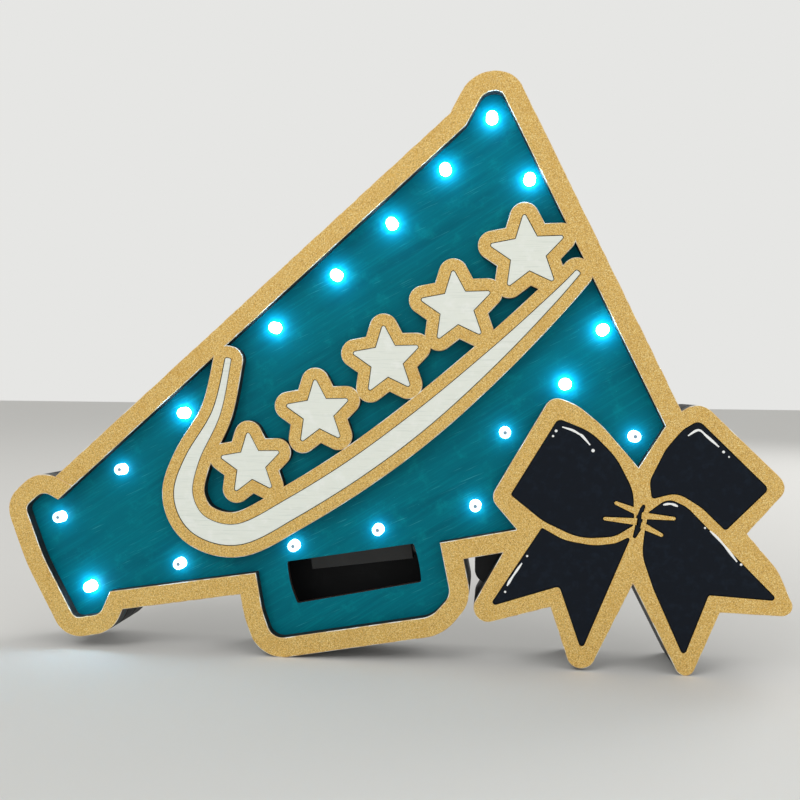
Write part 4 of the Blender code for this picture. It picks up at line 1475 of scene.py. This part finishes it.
@dataclass
class Cell:
    """An AA cell in a sleeve of two colours. The middle one stands the other way up."""

    tilt: float
    radius: float = 7.25
    length: float = 50.5
    nub_radius: float = 2.75
    nub: float = 1.0
    copper_share: float = 0.3
    ease: float = 0.4
    crimp: float = 1.6
    dent: float = 0.25
    dent_inset: float = 2.2
    seam: float = 0.01
    groove: float = 1.9
    dip: float = 0.3
    nub_foot: float = 0.4
    nub_lift: float = 0.1
    nub_ease: tuple[float, float] = (0.3, 0.25)
    sleeve_end: float = 1.7
    sides: int = 40

    @property
    def ring(self) -> float:
        """Where along the cell the copper-coloured part starts, in millimetres."""
        return (self.length - self.nub) * (1 - self.copper_share)

    def profile(self) -> tuple[Point, ...]:
        """The cell's outer line, from its flat end to its nub.

        Returns:
            (radius, height) points in millimetres.
        """
        radius, length, ease, crimp = self.radius, self.length, self.ease, self.crimp
        body, neck, low = length - self.nub, self.nub_radius, length - self.nub - self.dip
        inwards, down = self.nub_ease
        return (
            (0, self.dent), (radius - self.dent_inset, self.dent), (radius - crimp, 0), (radius - ease, 0),
            (radius, ease), (radius, self.ring - self.seam), (radius, self.ring), (radius, body - ease),
            (radius - ease, body), (radius - crimp, body), (radius - self.groove, low), (neck + self.nub_foot, low),
            (neck, body - self.nub_lift), (neck, length - down), (neck - inwards, length), (0, length),
        )

    def build(self, number: int) -> None:
        """Makes one cell, with its nub towards its contact plate.

        Args:
            number: Which cell, counted from 1.
        """
        node = f"aa_cell_{number}"
        low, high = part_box(node)
        flip = math.pi if number == 2 else 0
        turn = Matrix.Rotation(-self.tilt, 4, "Y") @ Matrix.Rotation(flip, 4, "X")
        place = Matrix.Translation((low + high) / 2) @ turn @ Matrix.Translation((0, 0, -self.length / 2 * MM))
        cell = finished(turned(f"cell_{number}", self.profile(), place, self.sides), DARK_SLEEVE, Slot.SLEEVE, node)
        cell.data.materials.append(COPPER_SLEEVE.material())
        cell.data.materials.append(ZINC.material())
        back = place.inverted()
        for polygon in cell.data.polygons:
            spot = back @ polygon.center / MM
            if spot.z > self.ring:
                polygon.material_index = 1
            if Vector((spot.x, spot.y)).length < self.radius - self.sleeve_end:
                polygon.material_index = 2


@dataclass
class InnerParts:
    """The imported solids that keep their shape: the lamps' wire and the cell springs."""

    springs: int = 3

    def build(self) -> None:
        """Gives each its finish."""
        dressed = {"light_string_wire": PVC}
        dressed |= {f"cell_spring_{number}": ZINC for number in range(1, self.springs + 1)}
        for node, finish in dressed.items():
            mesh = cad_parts[node].data
            mesh.materials.clear()
            mesh.materials.append(finish.material())
            LOG.info("%s: %s", node, finish.name)


@dataclass(frozen=True)
class SoftLamp:
    """A square soft lamp: where it stands, its side in metres and its watts."""

    name: str
    spot: tuple[float, float, float]
    side: float
    watts: float

    def build(self, target: Vector) -> None:
        """Makes the lamp.

        Args:
            target: The point that it faces.
        """
        light = bpy.data.lights.new(self.name, "AREA")
        light.shape, light.size, light.energy = "SQUARE", self.side, self.watts
        lamp = bpy.data.objects.new(self.name, light)
        lamp.location = self.spot
        lamp.rotation_euler = (target - Vector(self.spot)).to_track_quat("-Z", "Y").to_euler()
        bpy.context.scene.collection.objects.link(lamp)


@dataclass
class Studio:
    """A pale floor, soft lamps, a pale surround and the camera."""

    camera_spot: tuple[float, float, float] = (0.0504, -0.3966, 0.1236)
    camera_turn: tuple[float, float, float] = (89.262, -0.576, 6.377)
    lens: float = 38.25
    sensor: float = 36.0
    nearest: float = 0.01
    target: tuple[float, float, float] = (0, 0, 0.12)
    floor_size: float = 12.0
    floor: str = "#DAD9D6"
    surround: str = "#E6E6E4"
    surround_strength: float = 0.8
    lamps: tuple[SoftLamp, ...] = (
        SoftLamp("key_lamp", (-0.75, -1.15, 1.25), 0.9, 8.5),
        SoftLamp("fill_lamp", (1.2, -0.9, 0.6), 1.1, 3.2),
        SoftLamp("back_lamp", (0.95, 1.0, 1.0), 0.8, 7.5),
    )

    def build(self) -> None:
        """Makes the floor, the light and the camera."""
        self.build_floor()
        for lamp in self.lamps:
            lamp.build(Vector(self.target))
        self.build_surround()
        self.build_camera()
        bpy.context.scene.view_settings.view_transform = "Standard"

    def build_camera(self) -> None:
        """The camera, where it sees the sign from."""
        camera = bpy.data.cameras.new("camera")
        camera.lens, camera.sensor_width = self.lens, self.sensor
        camera.clip_start = self.nearest
        stand = bpy.data.objects.new("camera", camera)
        stand.location = self.camera_spot
        stand.rotation_euler = tuple(math.radians(angle) for angle in self.camera_turn)
        bpy.context.scene.collection.objects.link(stand)
        bpy.context.scene.camera = stand

    def build_floor(self) -> None:
        """A flat floor at the sign's feet."""
        shape = bmesh.new()
        bmesh.ops.create_grid(shape, x_segments=1, y_segments=1, size=self.floor_size / 2)
        floor = as_object("floor", shape)
        paper = Finish("pale paper floor", self.floor, 0.85)
        floor.data.materials.append(paper.material())

    def build_surround(self) -> None:
        """An even surround that lights the sign softly, and is pale where it is seen or mirrored."""
        world = bpy.data.worlds.new("surround")
        bpy.context.scene.world = world
        world.use_nodes = True
        tree = world.node_tree
        tree.nodes.clear()
        path = add(tree, "LightPath")
        seen = path.outputs["Is Camera Ray"]
        for ray in ("Is Glossy Ray", "Is Transmission Ray"):
            seen = add(tree, "Math", {0: seen, 1: path.outputs[ray]}, operation="MAXIMUM").outputs[0]
        strength = add(tree, "MapRange", {0: seen, 1: 0.0, 2: 1.0, 3: self.surround_strength, 4: 1.0})
        glow = add(tree, "Background", {"Color": linear(self.surround), "Strength": strength.outputs[0]})
        add(tree, "OutputWorld", {"Surface": glow.outputs[0]})


def main() -> None:
    """Builds each sub-assembly in turn."""
    logging.basicConfig(level=logging.INFO, format="%(name)s %(message)s")
    kinds = (Studio, Face, Highlights, TealPanel, Lamps, BlackBody, BackScrews, BatteryCase, InnerParts)
    for kind in kinds:
        LOG.info("building %s", kind.__name__)
        kind().build()


if __name__ == "__main__":
    main()
